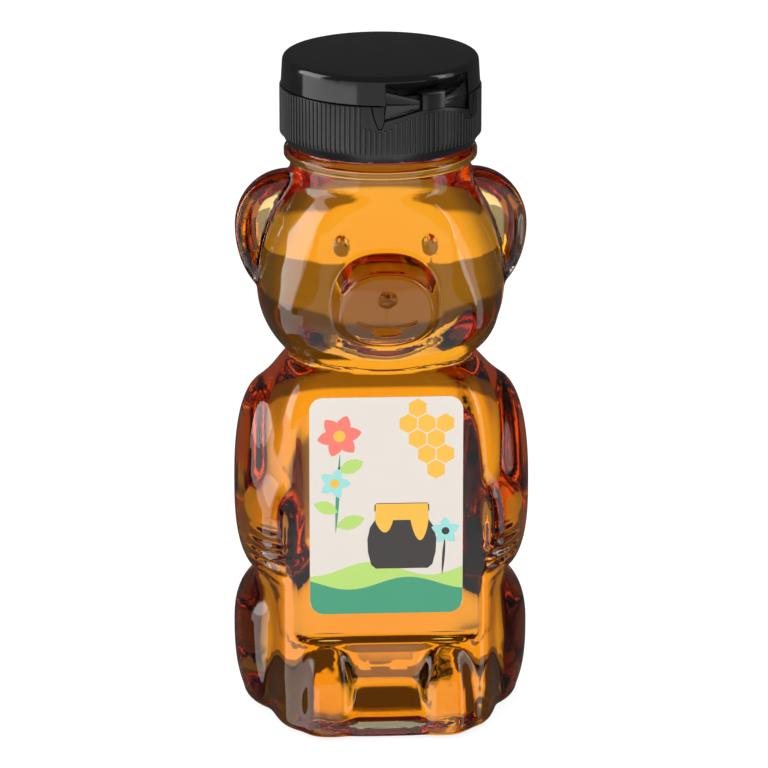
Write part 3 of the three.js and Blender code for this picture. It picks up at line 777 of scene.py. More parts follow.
def build_bottle():
    """Outer skin, neck and inner skin as one closed wall, and how many faces each skin has."""
    outer, quads = open_shell(0, pitches["outer"])
    outer_rim = open_rim(quads)
    outer, outer_faces = refine(outer, quads.tolist())
    inner, inner_faces = open_shell(skin["wall"], pitches["inner"])
    rings = neck_rings()
    points = np.concatenate([outer, inner, *rings])
    first = len(outer) + len(inner)
    last = first + (len(rings) - 1) * neck_count
    faces = outer_faces + [f[::-1] for f in (inner_faces + len(outer)).tolist()]
    faces += ring_faces(first, len(rings), neck_count)
    faces += zip_rims(points, outer_rim, ring_numbers(first))
    inner_rim = [i + len(outer) for i in open_rim(inner_faces)]
    faces += [f[::-1] for f in zip_rims(points, inner_rim, ring_numbers(last))]
    return piece_from("bear_bottle", points, faces), len(outer_faces), len(inner_faces)


bottle, outer_count, inner_count = build_bottle()
print("bottle:", triangles(bottle), "triangles")

# %% [markdown]
# ## The honey
# The honey is the filling that the wall holds, so it is the same field a little further in, capped in the
# neck. A filling that ends exactly on the inner wall flickers, and one that ends before it shows a film of
# air. This one reaches half into the wall.

# %% The honey
filling = {"inset": 0.35, "level": 122.2, "meniscus": 0.15, "meniscus_width": 0.6}
honey_throat = [(0.9, 0.2), (0.25, 0.6), (0.0, 1.2)]


def honey_outline():
    """The honey in the neck, from the skin's open rim to its level, as radius and height."""
    base, level = bead["top"] - bead["height"], filling["level"]
    bore = neck["bore"] + filling["inset"]
    outline = [(neck["radius"] - filling["inset"], base - collar["inner_drop"])]
    outline += [(bore + r, base + z) for r, z in honey_throat]
    outline += [(bore, level + filling["meniscus"]), (bore - filling["meniscus_width"], level)]
    return outline + [(bore / 2, level)]


def build_honey():
    """The shell, its rings in the neck, and a fan of triangles on top."""
    shell, quads = open_shell(filling["inset"], pitches["honey"])
    rings = [circle(radius, height, neck_count) for radius, height in honey_outline()]
    points = np.concatenate([shell, *rings, [[0, 0, filling["level"]]]])
    first, last = len(shell), len(shell) + (len(rings) - 1) * neck_count
    faces = quads.tolist() + ring_faces(first, len(rings), neck_count)
    faces += zip_rims(points, open_rim(quads), ring_numbers(first))
    faces += [(last + i, last + (i + 1) % neck_count, len(points) - 1) for i in range(neck_count)]
    return piece_from("honey_fill", points, faces)


honey = build_honey()
print("honey:", triangles(honey), "triangles")

# %% [markdown]
# ## The screw closure
# The closure is moulded in one shot of black plastic: a ribbed skirt, a deck with a spout, a lid, and a thin
# web that joins them. A turned part could be modelled from a cylinder, loop by loop. An outline of radius and
# height that is spun round the axis is shorter, and its corners are rounded in the outline, because only a
# rounded edge catches a highlight.

# %% Turned shapes
closure = {"bottom": 121.2, "seam": 133.4, "radius": 20.45, "turn_count": 192, "seam_gap": 0.15}
corner_share = 0.45
on_axis = 0.001


def soften(outline, steps=3):
    """Rounds the corners of a closed outline. Each point has two places and a radius."""
    softened, n = [], len(outline)
    for i, (*place, radius) in enumerate(outline):
        at = np.array(place, float)
        if radius <= 0:
            softened.append(tuple(at))
            continue
        before = np.array(outline[i - 1][:2], float) - at
        after = np.array(outline[(i + 1) % n][:2], float) - at
        reach = min(radius, corner_share * np.linalg.norm(before), corner_share * np.linalg.norm(after))
        start = at + before / np.linalg.norm(before) * reach
        end = at + after / np.linalg.norm(after) * reach
        for t in np.linspace(0, 1, steps + 1):
            softened.append(tuple((1 - t) ** 2 * start + 2 * t * (1 - t) * at + t**2 * end))
    return softened


def face_outward(piece):
    """Turns the faces outward. The piece is handed back."""
    shape = bmesh.new()
    shape.from_mesh(piece.data)
    bmesh.ops.recalc_face_normals(shape, faces=shape.faces)
    shape.to_mesh(piece.data)
    shape.free()
    return piece


def turned(name, outline, count=closure["turn_count"]):
    """Spins a closed outline of radius and height round the upright axis."""
    points, rows = [], []
    for radius, height in outline:
        if radius < on_axis:
            rows.append([len(points)] * count)
            points.append((0.0, 0.0, height))
        else:
            rows.append(list(range(len(points), len(points) + count)))
            points += circle(radius, height, count).tolist()
    faces = []
    for low, high in zip(rows, rows[1:] + rows[:1]):
        for i in range(count):
            j = (i + 1) % count
            face = list(dict.fromkeys((low[i], low[j], high[j], high[i])))
            if len(face) > 2:
                faces.append(face)
    return face_outward(piece_from(name, points, faces))


def apply_modifiers(piece):
    """Turns what the modifiers make into the piece's own plain mesh."""
    view = bpy.context.evaluated_depsgraph_get()
    result = bpy.data.meshes.new_from_object(piece.evaluated_get(view))
    piece.modifiers.clear()
    old, piece.data = piece.data, result
    bpy.data.meshes.remove(old)
    return piece


def carve(piece, tool, how="DIFFERENCE"):
    """Cuts a piece with a tool, or joins or intersects them, and removes the tool."""
    cut = piece.modifiers.new("carve", "BOOLEAN")
    cut.operation, cut.solver, cut.object = how, "EXACT", tool
    bpy.context.view_layer.update()
    apply_modifiers(piece)
    bpy.data.objects.remove(tool)
    return piece


print("closure is", closure["radius"] * 2, "mm across its ribs' feet")

# %% [markdown]
# The hinge sits to the right of the front. Its shapes are drawn in the hinge's own directions: u runs along
# the hinge, v points outward and z is measured from the seam between the base and the lid. So the outlines
# stay simple, and one function turns them into place.

# %% The hinge's directions
hinge = {"azimuth": 29, "half_width": 9.9, "floor": 16.8, "pocket_top": 4.8, "pocket_ceiling": 2.95, "fit": 0.3}


def from_hinge(u, v, z, azimuth=hinge["azimuth"]):
    """A place given in the hinge's directions, in the object's millimetres."""
    a = math.radians(azimuth)
    return (u * math.cos(a) + v * math.sin(a), u * math.sin(a) - v * math.cos(a), closure["seam"] + z)


def block_faces(rows, count, start=0):
    """The faces of a closed block through rows of points, each row a ring of equal count."""
    last = start + (rows - 1) * count
    faces = [list(range(start, start + count)), list(range(last, last + count))[::-1]]
    for low in range(start, last, count):
        for i in range(count):
            j = (i + 1) % count
            faces.append((low + i, low + count + i, low + count + j, low + j))
    return faces


def hinge_prism(name, sections, azimuth=hinge["azimuth"]):
    """A closed block through sections. Each is a depth v and an outline of u and z, all of equal count."""
    points = [from_hinge(u, v, z, azimuth) for v, outline in sections for u, z in outline]
    return face_outward(piece_from(name, points, block_faces(len(sections), len(sections[0][1]))))


def rectangle(half, low, high):
    """The outline of an upright rectangle."""
    return [(-half, low), (half, low), (half, high), (-half, high)]


print("hinge middle at", [round(v, 2) for v in from_hinge(0, closure["radius"], 0)])

# %% [markdown]
# The base of the closure is turned first. Then the recess under the hinge, the grooves round its two pointed
# tongues, the scoop for the thumb and two small mould notches are cut out of it with booleans, as a tool
# maker would cut them into the mould. Each cutting block is trimmed by a round bar first, so that its floor
# follows the skirt.

# %% The closure's base
overrun = 3
deck = {"thickness": 1.2, "collar_outer": 18.85, "collar_width": 0.9, "collar_height": 1.7}
spout = {"bore": 3.1, "tip": 4.3, "foot": 6.4, "height": 3.5}
skirt = {"inner": 18.95, "bottom_edge": 19.3, "chamfer_top": 123.55, "mouth": 0.4}
rounds = {"rim": 0.12, "skirt": 0.9, "deck": 0.15, "collar": 0.25, "inside": 0.3, "foot": 0.8, "tip": 0.5,
          "under": 0.2, "roof": 0.4, "mouth": 0.1}
base_top = closure["seam"] - closure["seam_gap"]


def base_outline():
    """From the skirt's lower edge up its outside, over the deck and the spout, and down inside."""
    under, tip = base_top - deck["thickness"], base_top + spout["height"]
    collar_top = base_top + deck["collar_height"]
    collar_inner = deck["collar_outer"] - deck["collar_width"]
    return soften([
        (skirt["bottom_edge"], closure["bottom"], rounds["rim"]),
        (closure["radius"], skirt["chamfer_top"], rounds["skirt"]),
        (closure["radius"], base_top, rounds["rim"]),
        (deck["collar_outer"], base_top, rounds["deck"]), (deck["collar_outer"], collar_top, rounds["collar"]),
        (collar_inner, collar_top, rounds["collar"]), (collar_inner, base_top, rounds["inside"]),
        (spout["foot"], base_top, rounds["foot"]), (spout["tip"], tip, rounds["tip"]),
        (spout["bore"], tip, rounds["inside"]), (spout["bore"], under, rounds["under"]),
        (skirt["inner"], under, rounds["roof"]),
        (skirt["inner"], closure["bottom"] + skirt["mouth"], rounds["mouth"]),
    ])


base_piece = turned("screw_base", base_outline())
print("closure base, uncut:", triangles(base_piece), "triangles")

# %% Cuts in the base
outside = closure["radius"] + overrun
cut_from = 10
recess = {"depth": 1.15, "inner_u": 2.75, "inner_drop": 1.2, "outer_drop": 3.3, "bevel": 0.7, "clear": 0.3,
          "flare": 0.3, "flare_out": 0.1}
vee = {"middle": 10.9, "half_width": 1.25, "tip": 4.6, "groove": 0.32, "depth": 0.4, "shoulder": 0.3}
vee_shares = {"waist": 0.75, "waist_at": 0.5, "tip": 0.22}
scoop = {"half_width": 7.5, "drop": 2.4, "depth": 1.0, "flare": 1.0, "flare_drop": 0.4, "bar_share": 0.8}
notches = {"azimuths": (-9.0, 10.0), "width": 1.1, "height": 0.9, "inward": 1.3, "outward": 0.1, "below": 0.5}
bar = {"bottom": 100, "top": 150}


def recess_outline(grow):
    """The lower half of the bow tie that the hinge leaves free."""
    side = hinge["half_width"] + recess["clear"] + grow
    right = [(recess["inner_u"], -recess["inner_drop"] - grow), (side, -recess["outer_drop"] - grow),
             (side, overrun)]
    return right + [(-u, z) for u, z in right[::-1]]


def tongue_outline(side, grow):
    """A pointed tongue that hangs from the seam beyond one end of the hinge."""
    half = vee["half_width"] + grow
    right = [(half, overrun), (half, -vee["shoulder"]),
             (half * vee_shares["waist"], -vee["tip"] * vee_shares["waist_at"]),
             (half * vee_shares["tip"], -vee["tip"] - grow)]
    return [(side * vee["middle"] + u, z) for u, z in [(-u, z) for u, z in right] + right[::-1]]


def scoop_outline(half, drop):
    return [(-half, overrun), (-half / 2, -drop), (half / 2, -drop), (half, overrun)]


def trimmed(block, radius):
    """A cutting block without what lies within a radius of the closure's axis."""
    outline = [(0, bar["bottom"]), (radius, bar["bottom"]), (radius, bar["top"]), (0, bar["top"])]
    return carve(block, turned("bar", outline))


def recess_block():
    flared, edge = recess_outline(recess["flare"]), closure["radius"]
    return hinge_prism("recess", [(cut_from, recess_outline(0)), (edge - recess["bevel"], recess_outline(0)),
                                  (edge + recess["flare_out"], flared), (outside, flared)])


def groove_block(side):
    """The groove is what lies round the tongue."""
    wide, own = tongue_outline(side, vee["groove"]), tongue_outline(side, 0)
    groove = hinge_prism("groove", [(cut_from, wide), (outside, wide)])
    return carve(groove, hinge_prism("tongue", [(cut_from / 2, own), (outside + overrun, own)]))


def scoop_block():
    """The thumb's scoop lies opposite the hinge, so its depths are negative."""
    wide = scoop_outline(scoop["half_width"] + scoop["flare"], scoop["drop"] + scoop["flare_drop"])
    return hinge_prism("scoop", [(-outside, wide), (scoop["depth"] - closure["radius"],
                                                    scoop_outline(scoop["half_width"], scoop["drop"]))])


def notch_block(azimuth):
    low = closure["bottom"] - closure["seam"]
    outline = rectangle(notches["width"] / 2, low - notches["below"], low + notches["height"])
    depths = (closure["radius"] - notches["inward"], closure["radius"] + notches["outward"])
    return hinge_prism("notch", [(v, outline) for v in depths], azimuth)


carve(base_piece, trimmed(recess_block(), closure["radius"] - recess["depth"]))
for side in (-1, 1):
    carve(base_piece, trimmed(groove_block(side), closure["radius"] - vee["depth"]))
carve(base_piece, trimmed(scoop_block(), closure["radius"] - scoop["depth"] * scoop["bar_share"]))
for azimuth in notches["azimuths"]:
    carve(base_piece, notch_block(azimuth))
crease_angle = 30
sharpen(base_piece, crease_angle)
print("closure base:", triangles(base_piece), "triangles")

# %% [markdown]
# The skirt's 120 fine ribs give a wet hand its grip. They repeat round the skirt, so Geometry Nodes place one
# rib on each point of a circle. Each point carries the rib's length, because the ribs stop short under the
# hinge and the tongues.

# %% The ribs
ribs = {"count": 120, "width": 0.3, "height": 0.28, "top": base_top - 0.12, "bottom": 123.35}


def rib_top(azimuth):
    """How far up the rib at one azimuth may reach."""
    turn = math.radians(azimuth - hinge["azimuth"])
    u = closure["radius"] * math.sin(turn)
    if math.cos(turn) < 0:
        if abs(u) < scoop["half_width"] + 0.8:
            slope_share = min(max((scoop["half_width"] + 0.8 - abs(u)) / (scoop["half_width"] / 2), 0), 1)
            return ribs["top"] - (scoop["drop"] + 0.5) * slope_share
        return ribs["top"]
    from_tongue = abs(abs(u) - vee["middle"])
    if from_tongue < 2.6:
        return closure["seam"] - vee["tip"] - 0.9 + 0.35 * from_tongue
    if abs(u) < vee["middle"]:
        share = max(abs(u) - recess["inner_u"], 0) / (hinge["half_width"] - recess["inner_u"])
        drop = recess["inner_drop"] + share * (recess["outer_drop"] - recess["inner_drop"])
        return closure["seam"] - 0.8 - drop
    return ribs["top"]


def rib_points():
    """The circle's points, with each rib's turn and length."""
    azimuths = np.arange(ribs["count"]) * 360 / ribs["count"]
    spots = []
    for azimuth in azimuths:
        place = direction(azimuth, 0) * closure["radius"]
        spots.append((place.x, place.y, ribs["bottom"]))
    mesh = bpy.data.meshes.new("ribs")
    mesh.from_pydata((np.array(spots) * MM).tolist(), [], [])
    turns = mesh.attributes.new("turn", "FLOAT", "POINT")
    turns.data.foreach_set("value", np.radians(azimuths).astype(np.float32))
    lengths = mesh.attributes.new("length", "FLOAT", "POINT")
    reach = np.array([rib_top(azimuth) - ribs["bottom"] for azimuth in azimuths])
    lengths.data.foreach_set("value", (reach * MM).astype(np.float32))
    return mesh


def link(tree, *pairs):
    for start, end in pairs:
        tree.links.new(start, end)


def rib_tree():
    """One rounded rib on each point, as long as the point says."""
    tree = bpy.data.node_groups.new("grip ribs", "GeometryNodeTree")
    tree.interface.new_socket("Points", in_out="INPUT", socket_type="NodeSocketGeometry")
    for name in ("Rib Width", "Rib Height"):
        tree.interface.new_socket(name, in_out="INPUT", socket_type="NodeSocketFloat")
    tree.interface.new_socket("Material", in_out="INPUT", socket_type="NodeSocketMaterial")
    tree.interface.new_socket("Ribs", in_out="OUTPUT", socket_type="NodeSocketGeometry")
    entry, out = tree.nodes.new("NodeGroupInput"), tree.nodes.new("NodeGroupOutput")
    line = tree.nodes.new("GeometryNodeCurvePrimitiveLine")
    line.inputs["Start"].default_value, line.inputs["End"].default_value = (0, 0, 0), (0, 0, 1)
    finer = tree.nodes.new("GeometryNodeResampleCurve")
    finer.inputs["Count"].default_value = 6
    along = tree.nodes.new("GeometryNodeSplineParameter")
    taper = tree.nodes.new("ShaderNodeFloatCurve")
    curve = taper.mapping.curves[0]
    curve.points[0].location, curve.points[1].location = (0.0, 0.15), (1.0, 0.75)
    for spot in ((0.2, 1.0), (0.85, 1.0)):
        curve.points.new(*spot)
    taper.mapping.update()
    profile = tree.nodes.new("GeometryNodeCurvePrimitiveCircle")
    profile.inputs["Resolution"].default_value = 8
    profile.inputs["Radius"].default_value = 1.0
    sweep = tree.nodes.new("GeometryNodeCurveToMesh")
    sweep.inputs["Fill Caps"].default_value = True
    place = tree.nodes.new("GeometryNodeInstanceOnPoints")
    turn, length = (tree.nodes.new("GeometryNodeInputNamedAttribute") for _ in range(2))
    turn.inputs["Name"].default_value, length.inputs["Name"].default_value = "turn", "length"
    around, size = tree.nodes.new("ShaderNodeCombineXYZ"), tree.nodes.new("ShaderNodeCombineXYZ")
    realize = tree.nodes.new("GeometryNodeRealizeInstances")
    dress = tree.nodes.new("GeometryNodeSetMaterial")
    smooth = tree.nodes.new("GeometryNodeSetShadeSmooth")
    shrink = tree.nodes.new("GeometryNodeSetCurveRadius")
    link(tree, (line.outputs[0], finer.inputs[0]), (finer.outputs[0], shrink.inputs[0]),
         (along.outputs["Factor"], taper.inputs["Value"]), (taper.outputs[0], shrink.inputs["Radius"]),
         (shrink.outputs[0], sweep.inputs["Curve"]), (profile.outputs[0], sweep.inputs["Profile Curve"]),
         (entry.outputs["Points"], place.inputs["Points"]), (sweep.outputs[0], place.inputs["Instance"]),
         (turn.outputs["Attribute"], around.inputs["Z"]), (around.outputs[0], place.inputs["Rotation"]),
         (entry.outputs["Rib Width"], size.inputs["X"]), (entry.outputs["Rib Height"], size.inputs["Y"]),
         (length.outputs["Attribute"], size.inputs["Z"]), (size.outputs[0], place.inputs["Scale"]),
         (place.outputs[0], realize.inputs[0]), (realize.outputs[0], smooth.inputs[0]),
         (smooth.outputs[0], dress.inputs[0]), (entry.outputs["Material"], dress.inputs["Material"]),
         (dress.outputs[0], out.inputs[0]))
    return tree


def set_inputs(modifier, values):
    """Sets a Geometry Nodes modifier's inputs by name, through their identifiers."""
    for socket in modifier.node_group.interface.items_tree:
        if getattr(socket, "in_out", "") == "INPUT" and socket.name in values:
            modifier[socket.identifier] = values[socket.name]


def build_ribs(look):
    piece = bpy.data.objects.new("grip_ribs", rib_points())
    bpy.context.scene.collection.objects.link(piece)
    grow = piece.modifiers.new("ribs", "NODES")
    grow.node_group = rib_tree()
    set_inputs(grow, {"Rib Width": ribs["width"] * MM, "Rib Height": ribs["height"] * MM, "Material": look})
    bpy.context.view_layer.update()
    return face_outward(apply_modifiers(piece))


print("ribs wanted:", ribs["count"])

# %% [markdown]
# ## The lid
# The lid is turned too. A flat-bottomed pocket is cut into it for the hinge, and a tapered cut gives the
# pocket's upper edge a broad slope that catches the light of the table. Under the lid a short plug closes the
# spout.

# %% The lid
lid = {"height": 5.9, "wall": 1.15, "top": 1.2, "round": 1.15, "draft": 0.35}
plug = {"radius": 2.75, "bore": 1.6, "tip": 2.1}
lip = {"half_width": 3.75, "proud": 0.5, "height": 1.4}


def build_lid():
    seam, radius = closure["seam"], closure["radius"]
    bottom, top = seam + closure["seam_gap"], seam + lid["height"]
    upper, ceiling = radius - lid["draft"], seam + lid["height"] - lid["top"]
    inner = radius - lid["wall"]
    piece = turned("lid_shell", soften([
        (0, top, 0), (upper, top, lid["round"]), (radius, bottom, 0.15), (inner, bottom, 0.15),
        (inner - lid["draft"], ceiling, 0.5), (0, ceiling, 0),
    ], steps=6))
    across, back = hinge["half_width"] + lid["wall"], hinge["floor"] - lid["wall"]
    block = rectangle(across, closure["seam_gap"], lid["height"] - 0.3)
    backing = hinge_prism("backing", [(back, block), (outside, block)])
    within = turned("within", [(0, bottom), (radius - 0.02, bottom), (upper - 0.05, top - lid["round"]),
                               (0, top - 0.4)])
    carve(piece, carve(backing, within, "INTERSECT"), "UNION")
    half = hinge["half_width"]
    mouth = [(-half, -4), (half, -4), (half, 4.2), (half - 0.9, 6.5), (-half + 0.9, 6.5), (-half, 4.2)]
    pocket = hinge_prism("pocket", [(hinge["floor"], mouth), (outside, mouth)])
    rise = hinge["pocket_top"] - hinge["pocket_ceiling"]
    slope_out = turned("slope", [
        (0, seam - 3), (radius + 5, seam - 3), (radius + 5, seam + hinge["pocket_top"] + 5),
        (radius - 0.1, seam + hinge["pocket_top"]),
        (radius - 0.1 - rise * 1.05, seam + hinge["pocket_ceiling"]),
        (0, seam + hinge["pocket_ceiling"]),
    ])
    carve(piece, carve(pocket, slope_out, "INTERSECT"))
    spud = turned("spud", soften([
        (plug["radius"], ceiling + 0.4, 0), (plug["bore"], ceiling + 0.4, 0),
        (plug["bore"], seam + plug["tip"], 0.15), (plug["radius"], seam + plug["tip"], 0.4),
    ]), 64)
    carve(piece, spud, "UNION")
    edge = lip["half_width"]
    tab = hinge_prism("tab", [
        (-radius - lip["proud"], rectangle(edge - 0.6, 0.35, 1.1)),
        (-radius + lid["wall"] * 0.6, rectangle(edge, closure["seam_gap"], lip["height"])),
    ])
    carve(piece, tab, "UNION")
    return sharpen(piece, crease_angle)


lid_piece = build_lid()
print("lid:", triangles(lid_piece), "triangles")

# %% [markdown]
# ## The living hinge
# A narrow strap and two folded wings, all much thinner than the walls, join the lid to the base. When the lid
# turns, they bend. Each is a swept sheet with thicker borders, made in the closed position.

# %% Strap and wings
strap = {"half_width": 2.62, "thick": 0.5, "rise": 2.45, "drop": 1.35, "front": 20.5}
wing = {"thick": 0.4, "outer_rise": 2.75, "outer_drop": 3.1, "inner_rise": 0.75, "inner_drop": 0.95,
        "border": 0.3}
web_crease = 40


def sheet(name, rows, thick):
    """A closed thin sheet through rows of places in the hinge's directions, thickened towards the axis."""
    many, count = len(rows), len(rows[0])
    front = [from_hinge(u, v, z) for row in rows for u, v, z in row]
    back = [from_hinge(u, v - thick, z) for row in rows for u, v, z in row]
    faces = []
    for r in range(many - 1):
        for c in range(count - 1):
            a, b = r * count + c, r * count + c + 1
            d, e = a + count, b + count
            faces.append((a, b, e, d))
            faces.append(tuple(i + many * count for i in (d, e, b, a)))
    rim = [(0, c) for c in range(count)] + [(r, count - 1) for r in range(1, many)]
    rim += [(many - 1, c) for c in range(count - 2, -1, -1)] + [(r, 0) for r in range(many - 2, 0, -1)]
    loop = [r * count + c for r, c in rim]
    for a, b in zip(loop, loop[1:] + loop[:1]):
        faces.append((b, a, a + many * count, b + many * count))
    return face_outward(piece_from(name, front + back, faces))


def build_strap():
    """The strap runs up the outside and curls back into the lid's pocket."""
    front, rise, thick = strap["front"], strap["rise"], strap["thick"]
    outline = soften([
        (front, -strap["drop"], 0.15), (front, rise - 0.2, 1.0), (front - 1.2, rise, 0.8),
        (hinge["floor"] + hinge["fit"], rise + 0.05, 0), (hinge["floor"] + hinge["fit"], rise - thick, 0),
        (front - 1.3, rise - thick, 0.6), (front - thick, rise - 0.9, 0.5),
        (front - thick, -strap["drop"], 0.15),
    ], steps=5)
    half, columns = strap["half_width"], 9
    points = []
    for c in range(columns):
        u = half * (2 * c / (columns - 1) - 1)
        bow = 0.12 * (1 - (u / half) ** 2)
        points += [from_hinge(u, v + bow - (0.1 if c in (0, columns - 1) else 0), z) for v, z in outline]
    piece = piece_from("strap_web", points, block_faces(columns, len(outline)))
    return sharpen(face_outward(piece), web_crease)


def wing_row(side, share):
    """One line down the wing, from its top edge over the fold to its lower edge."""
    outer, inner = hinge["half_width"] - hinge["fit"], strap["half_width"] + 0.42
    u = outer + (inner - outer) * share
    rise = wing["outer_rise"] + (wing["inner_rise"] - wing["outer_rise"]) * share
    drop = wing["outer_drop"] + (wing["inner_drop"] - wing["outer_drop"]) * share
    reach = math.sqrt((closure["radius"] - 0.15) ** 2 - u**2)
    lean = 0.75 * (1 - share)
    heights = [1, 0.93, 0.82, 0.7, 0.45, 0.2, 0.06, 0, -0.06, -0.2, -0.5, -0.8, -0.93, -1]
    row = []
    for h in heights:
        z = h * (rise if h > 0 else drop)
        back = lean * abs(h) ** 1.2 * (0.55 if h > 0 else 1.0)
        border = wing["border"] * (1 if abs(h) >= 0.93 else 0.35 if abs(h) > 0.8 else 0)
        row.append((side * u, reach - back - 0.28 + border * 0.6 + (0.1 if h == 0 else 0), z))
    return row


def build_wing(name, side):
    rows = [wing_row(side, share) for share in (0, 0.03, 0.08, 0.2, 0.35, 0.5, 0.65, 0.8, 0.92, 1)]
    return sharpen(sheet(name, rows, wing["thick"]), web_crease + 5)


strap_piece = build_strap()
wing_pieces = [build_wing("wing_web_left", -1), build_wing("wing_web_right", 1)]
print("hinge webs:", [triangles(piece) for piece in [strap_piece] + wing_pieces], "triangles")

# %% [markdown]
# ## The label
# The label is a paper sticker with round corners on the flat panel. Its print is a plain country design in
# six inks: a honeycomb, flowers, a pot of honey and a green hill. Each ink lies on the paper as a very thin
# sheet, so its edges stay sharp in a close view.

# %% The paper
label = {"half_width": 15.75, "bottom": 26.1, "top": 72.9, "corner": 2.9, "front": 22.9, "thickness": 0.2}
ink_step = 0.012


def flat_piece(name, outlines, front, thickness):
    """Flat closed shapes in x and z, each a list of places, standing on the panel and facing the front."""
    points, faces = [], []
    for layer, outline in outlines:
        start, n = len(points), len(outline)
        face_y = -(front + layer * ink_step)
        points += [(x, face_y, z) for x, z in outline] + [(x, face_y + thickness, z) for x, z in outline]
        faces += block_faces(2, n, start)
    piece = piece_from(name, points, faces)
    piece.data.shade_flat()
    return face_outward(piece)


def rounded_sheet(steps=16):
    half, corner = label["half_width"], label["corner"]
    right, low, high = half - corner, label["bottom"] + corner, label["top"] - corner
    outline = []
    for cx, cz, start in ((right, low, -90), (right, high, 0), (-right, high, 90), (-right, low, 180)):
        for i in range(steps + 1):
            a = math.radians(start + 90 * i / steps)
            outline.append((cx + corner * math.cos(a), cz + corner * math.sin(a)))
    return outline


paper_piece = flat_piece("label_paper", [(0, rounded_sheet())], label["front"], label["thickness"])
print("label paper:", triangles(paper_piece), "triangles")

# %% Shapes of the print
centre_z = (label["top"] + label["bottom"]) / 2


def polygon(x, z, radius, sides, turn=0.0):
    """A regular shape round a place that is measured from the label's middle."""
    angles = [math.radians(turn) + 2 * math.pi * i / sides for i in range(sides)]
    return [(x + radius * math.cos(a), centre_z + z + radius * math.sin(a)) for a in angles]


def petal(x, z, length, width, turn, steps=14):
    """A leaf or petal that starts at a place and points the way it is turned."""
    a = math.radians(turn)
    outline = []
    for side in (1, -1):
        for i in range(steps):
            t = i / steps if side > 0 else 1 - i / steps
            along, across = t * length, side * width / 2 * math.sin(math.pi * t) ** 0.8
            outline.append((x + along * math.cos(a) - across * math.sin(a),
                            centre_z + z + along * math.sin(a) + across * math.cos(a)))
    return outline


def honeycomb(x, z, radius, cells):
    """Hexagon cells at hexagonal grid places."""
    step = radius * 1.86
    return [polygon(x + step * (i + j / 2), z + step * j * 0.866, radius, 6, 30) for i, j in cells]


def hill(height, wave, phase):
    """A rolling hill across the label's foot, cut by the paper's round corners."""
    half, corner = label["half_width"] - 0.02, label["corner"]
    xs = np.linspace(-half, half, 90)
    over = np.maximum(np.abs(xs) - (half - corner), 0)
    low = label["bottom"] + 0.02 + corner - np.sqrt(np.maximum(corner**2 - over**2, 0))
    high = label["bottom"] + height + wave * np.sin(xs / half * math.pi * 1.3 + phase)
    return [(x, z) for x, z in zip(xs, low)] + [(x, z) for x, z in zip(xs[::-1], high[::-1])]


def pot(x, z, width, height):
    """A round-bellied honey pot."""
    side = [(0.40, 0.0), (0.47, 0.06), (0.52, 0.25), (0.53, 0.45), (0.49, 0.63), (0.40, 0.76), (0.36, 0.80),
            (0.36, 0.85), (0.42, 0.88), (0.42, 0.97), (0.39, 1.0)]
    right = [(x + width * a, centre_z + z + height * b) for a, b in side]
    left = [(x - width * a, centre_z + z + height * b) for a, b in side]
    return right + left[::-1]


def drip(x, z, width, height):
    """Honey that runs down over the pot's shoulder in three tongues."""
    xs = np.linspace(-0.41, 0.41, 60)
    tongues = np.maximum(np.sin((xs + 0.41) / 0.82 * math.pi * 3), 0) ** 0.7
    low = 0.74 - 0.26 * tongues * (0.6 + 0.9 * (xs + 0.4))
    top = [(x + width * 0.40, centre_z + z + height * 0.99), (x - width * 0.40, centre_z + z + height * 0.99)]
    return [(x + width * a, centre_z + z + height * b) for a, b in zip(xs, low)] + top


print("print is drawn round z =", centre_z, "mm")

# %% The inks
amber_cells = [(0, 0), (1, 0), (0, 1), (-1, 1), (1, -1), (2, -1), (2, -2), (-1, 2), (1, 1)]
prints = {
    "amber": {"colour": (0.98, 0.54, 0.066), "shapes":
              [(1, s) for s in honeycomb(6.4, 14.4, 2.05, amber_cells)] + [(3, drip(3.2, -13.6, 13.4, 14.2))]
              + [(4, polygon(-9.6, 15.2, 1.25, 24)), (4, polygon(-10.6, 5.0, 0.95, 24))]},
    "green": {"colour": (0.062, 0.365, 0.205), "shapes": [(2, hill(6.6, 1.3, 0.4))]
              + [(1, polygon(-9.6, 8.2, 0.32, 4, 0)), (1, petal(-9.5, 11.6, 17.6, 0.75, -93))]},
    "lime": {"colour": (0.51, 0.76, 0.185), "shapes": [(1, hill(9.8, 1.5, 2.4))]
             + [(2, petal(-9.7, 7.6, 5.4, 2.9, 22)), (2, petal(-10.0, -1.2, 5.2, 2.7, 158)),
                (2, petal(-10.2, -4.4, 6.0, 3.0, 18))]},
    "coral": {"colour": (0.97, 0.215, 0.165), "shapes":
              [(2 + turn / 240, petal(-9.6, 15.2, 4.6, 2.9, turn)) for turn in range(10, 370, 60)]},
    "sky": {"colour": (0.36, 0.78, 0.74), "shapes":
            [(2 + turn / 240, petal(-10.6, 5.0, 3.3, 2.0, turn)) for turn in range(0, 360, 72)]
            + [(2 + turn / 240, petal(12.2, -5.6, 3.0, 1.9, turn)) for turn in range(20, 380, 72)]},
    "charcoal": {"colour": (0.052, 0.046, 0.043), "shapes":
                 [(2, pot(3.2, -13.6, 13.4, 14.2))] + [(4, polygon(12.2, -5.6, 0.8, 20))]
                 + [(1.5, petal(12.1, -6.6, 8.6, 0.55, -94))]},
}
ink_pieces = {}
for ink, drawing in prints.items():
    ink_pieces[ink] = flat_piece(f"label_print_{ink}", drawing["shapes"], label["front"] + 0.004, 0.01)
print("inks:", {ink: triangles(piece) for ink, piece in ink_pieces.items()})

# %% [markdown]
# ## Clear plastic and honey
# The wall and the honey are seen through, so their looks are made of bending and soaking up light. A painted
# brown would look flat. The wall lets all light pass, and the honey takes out blue and green with depth, so
# thin places are gold and thick ones brown. The inner wall is wetted by the honey and doesn't reflect.

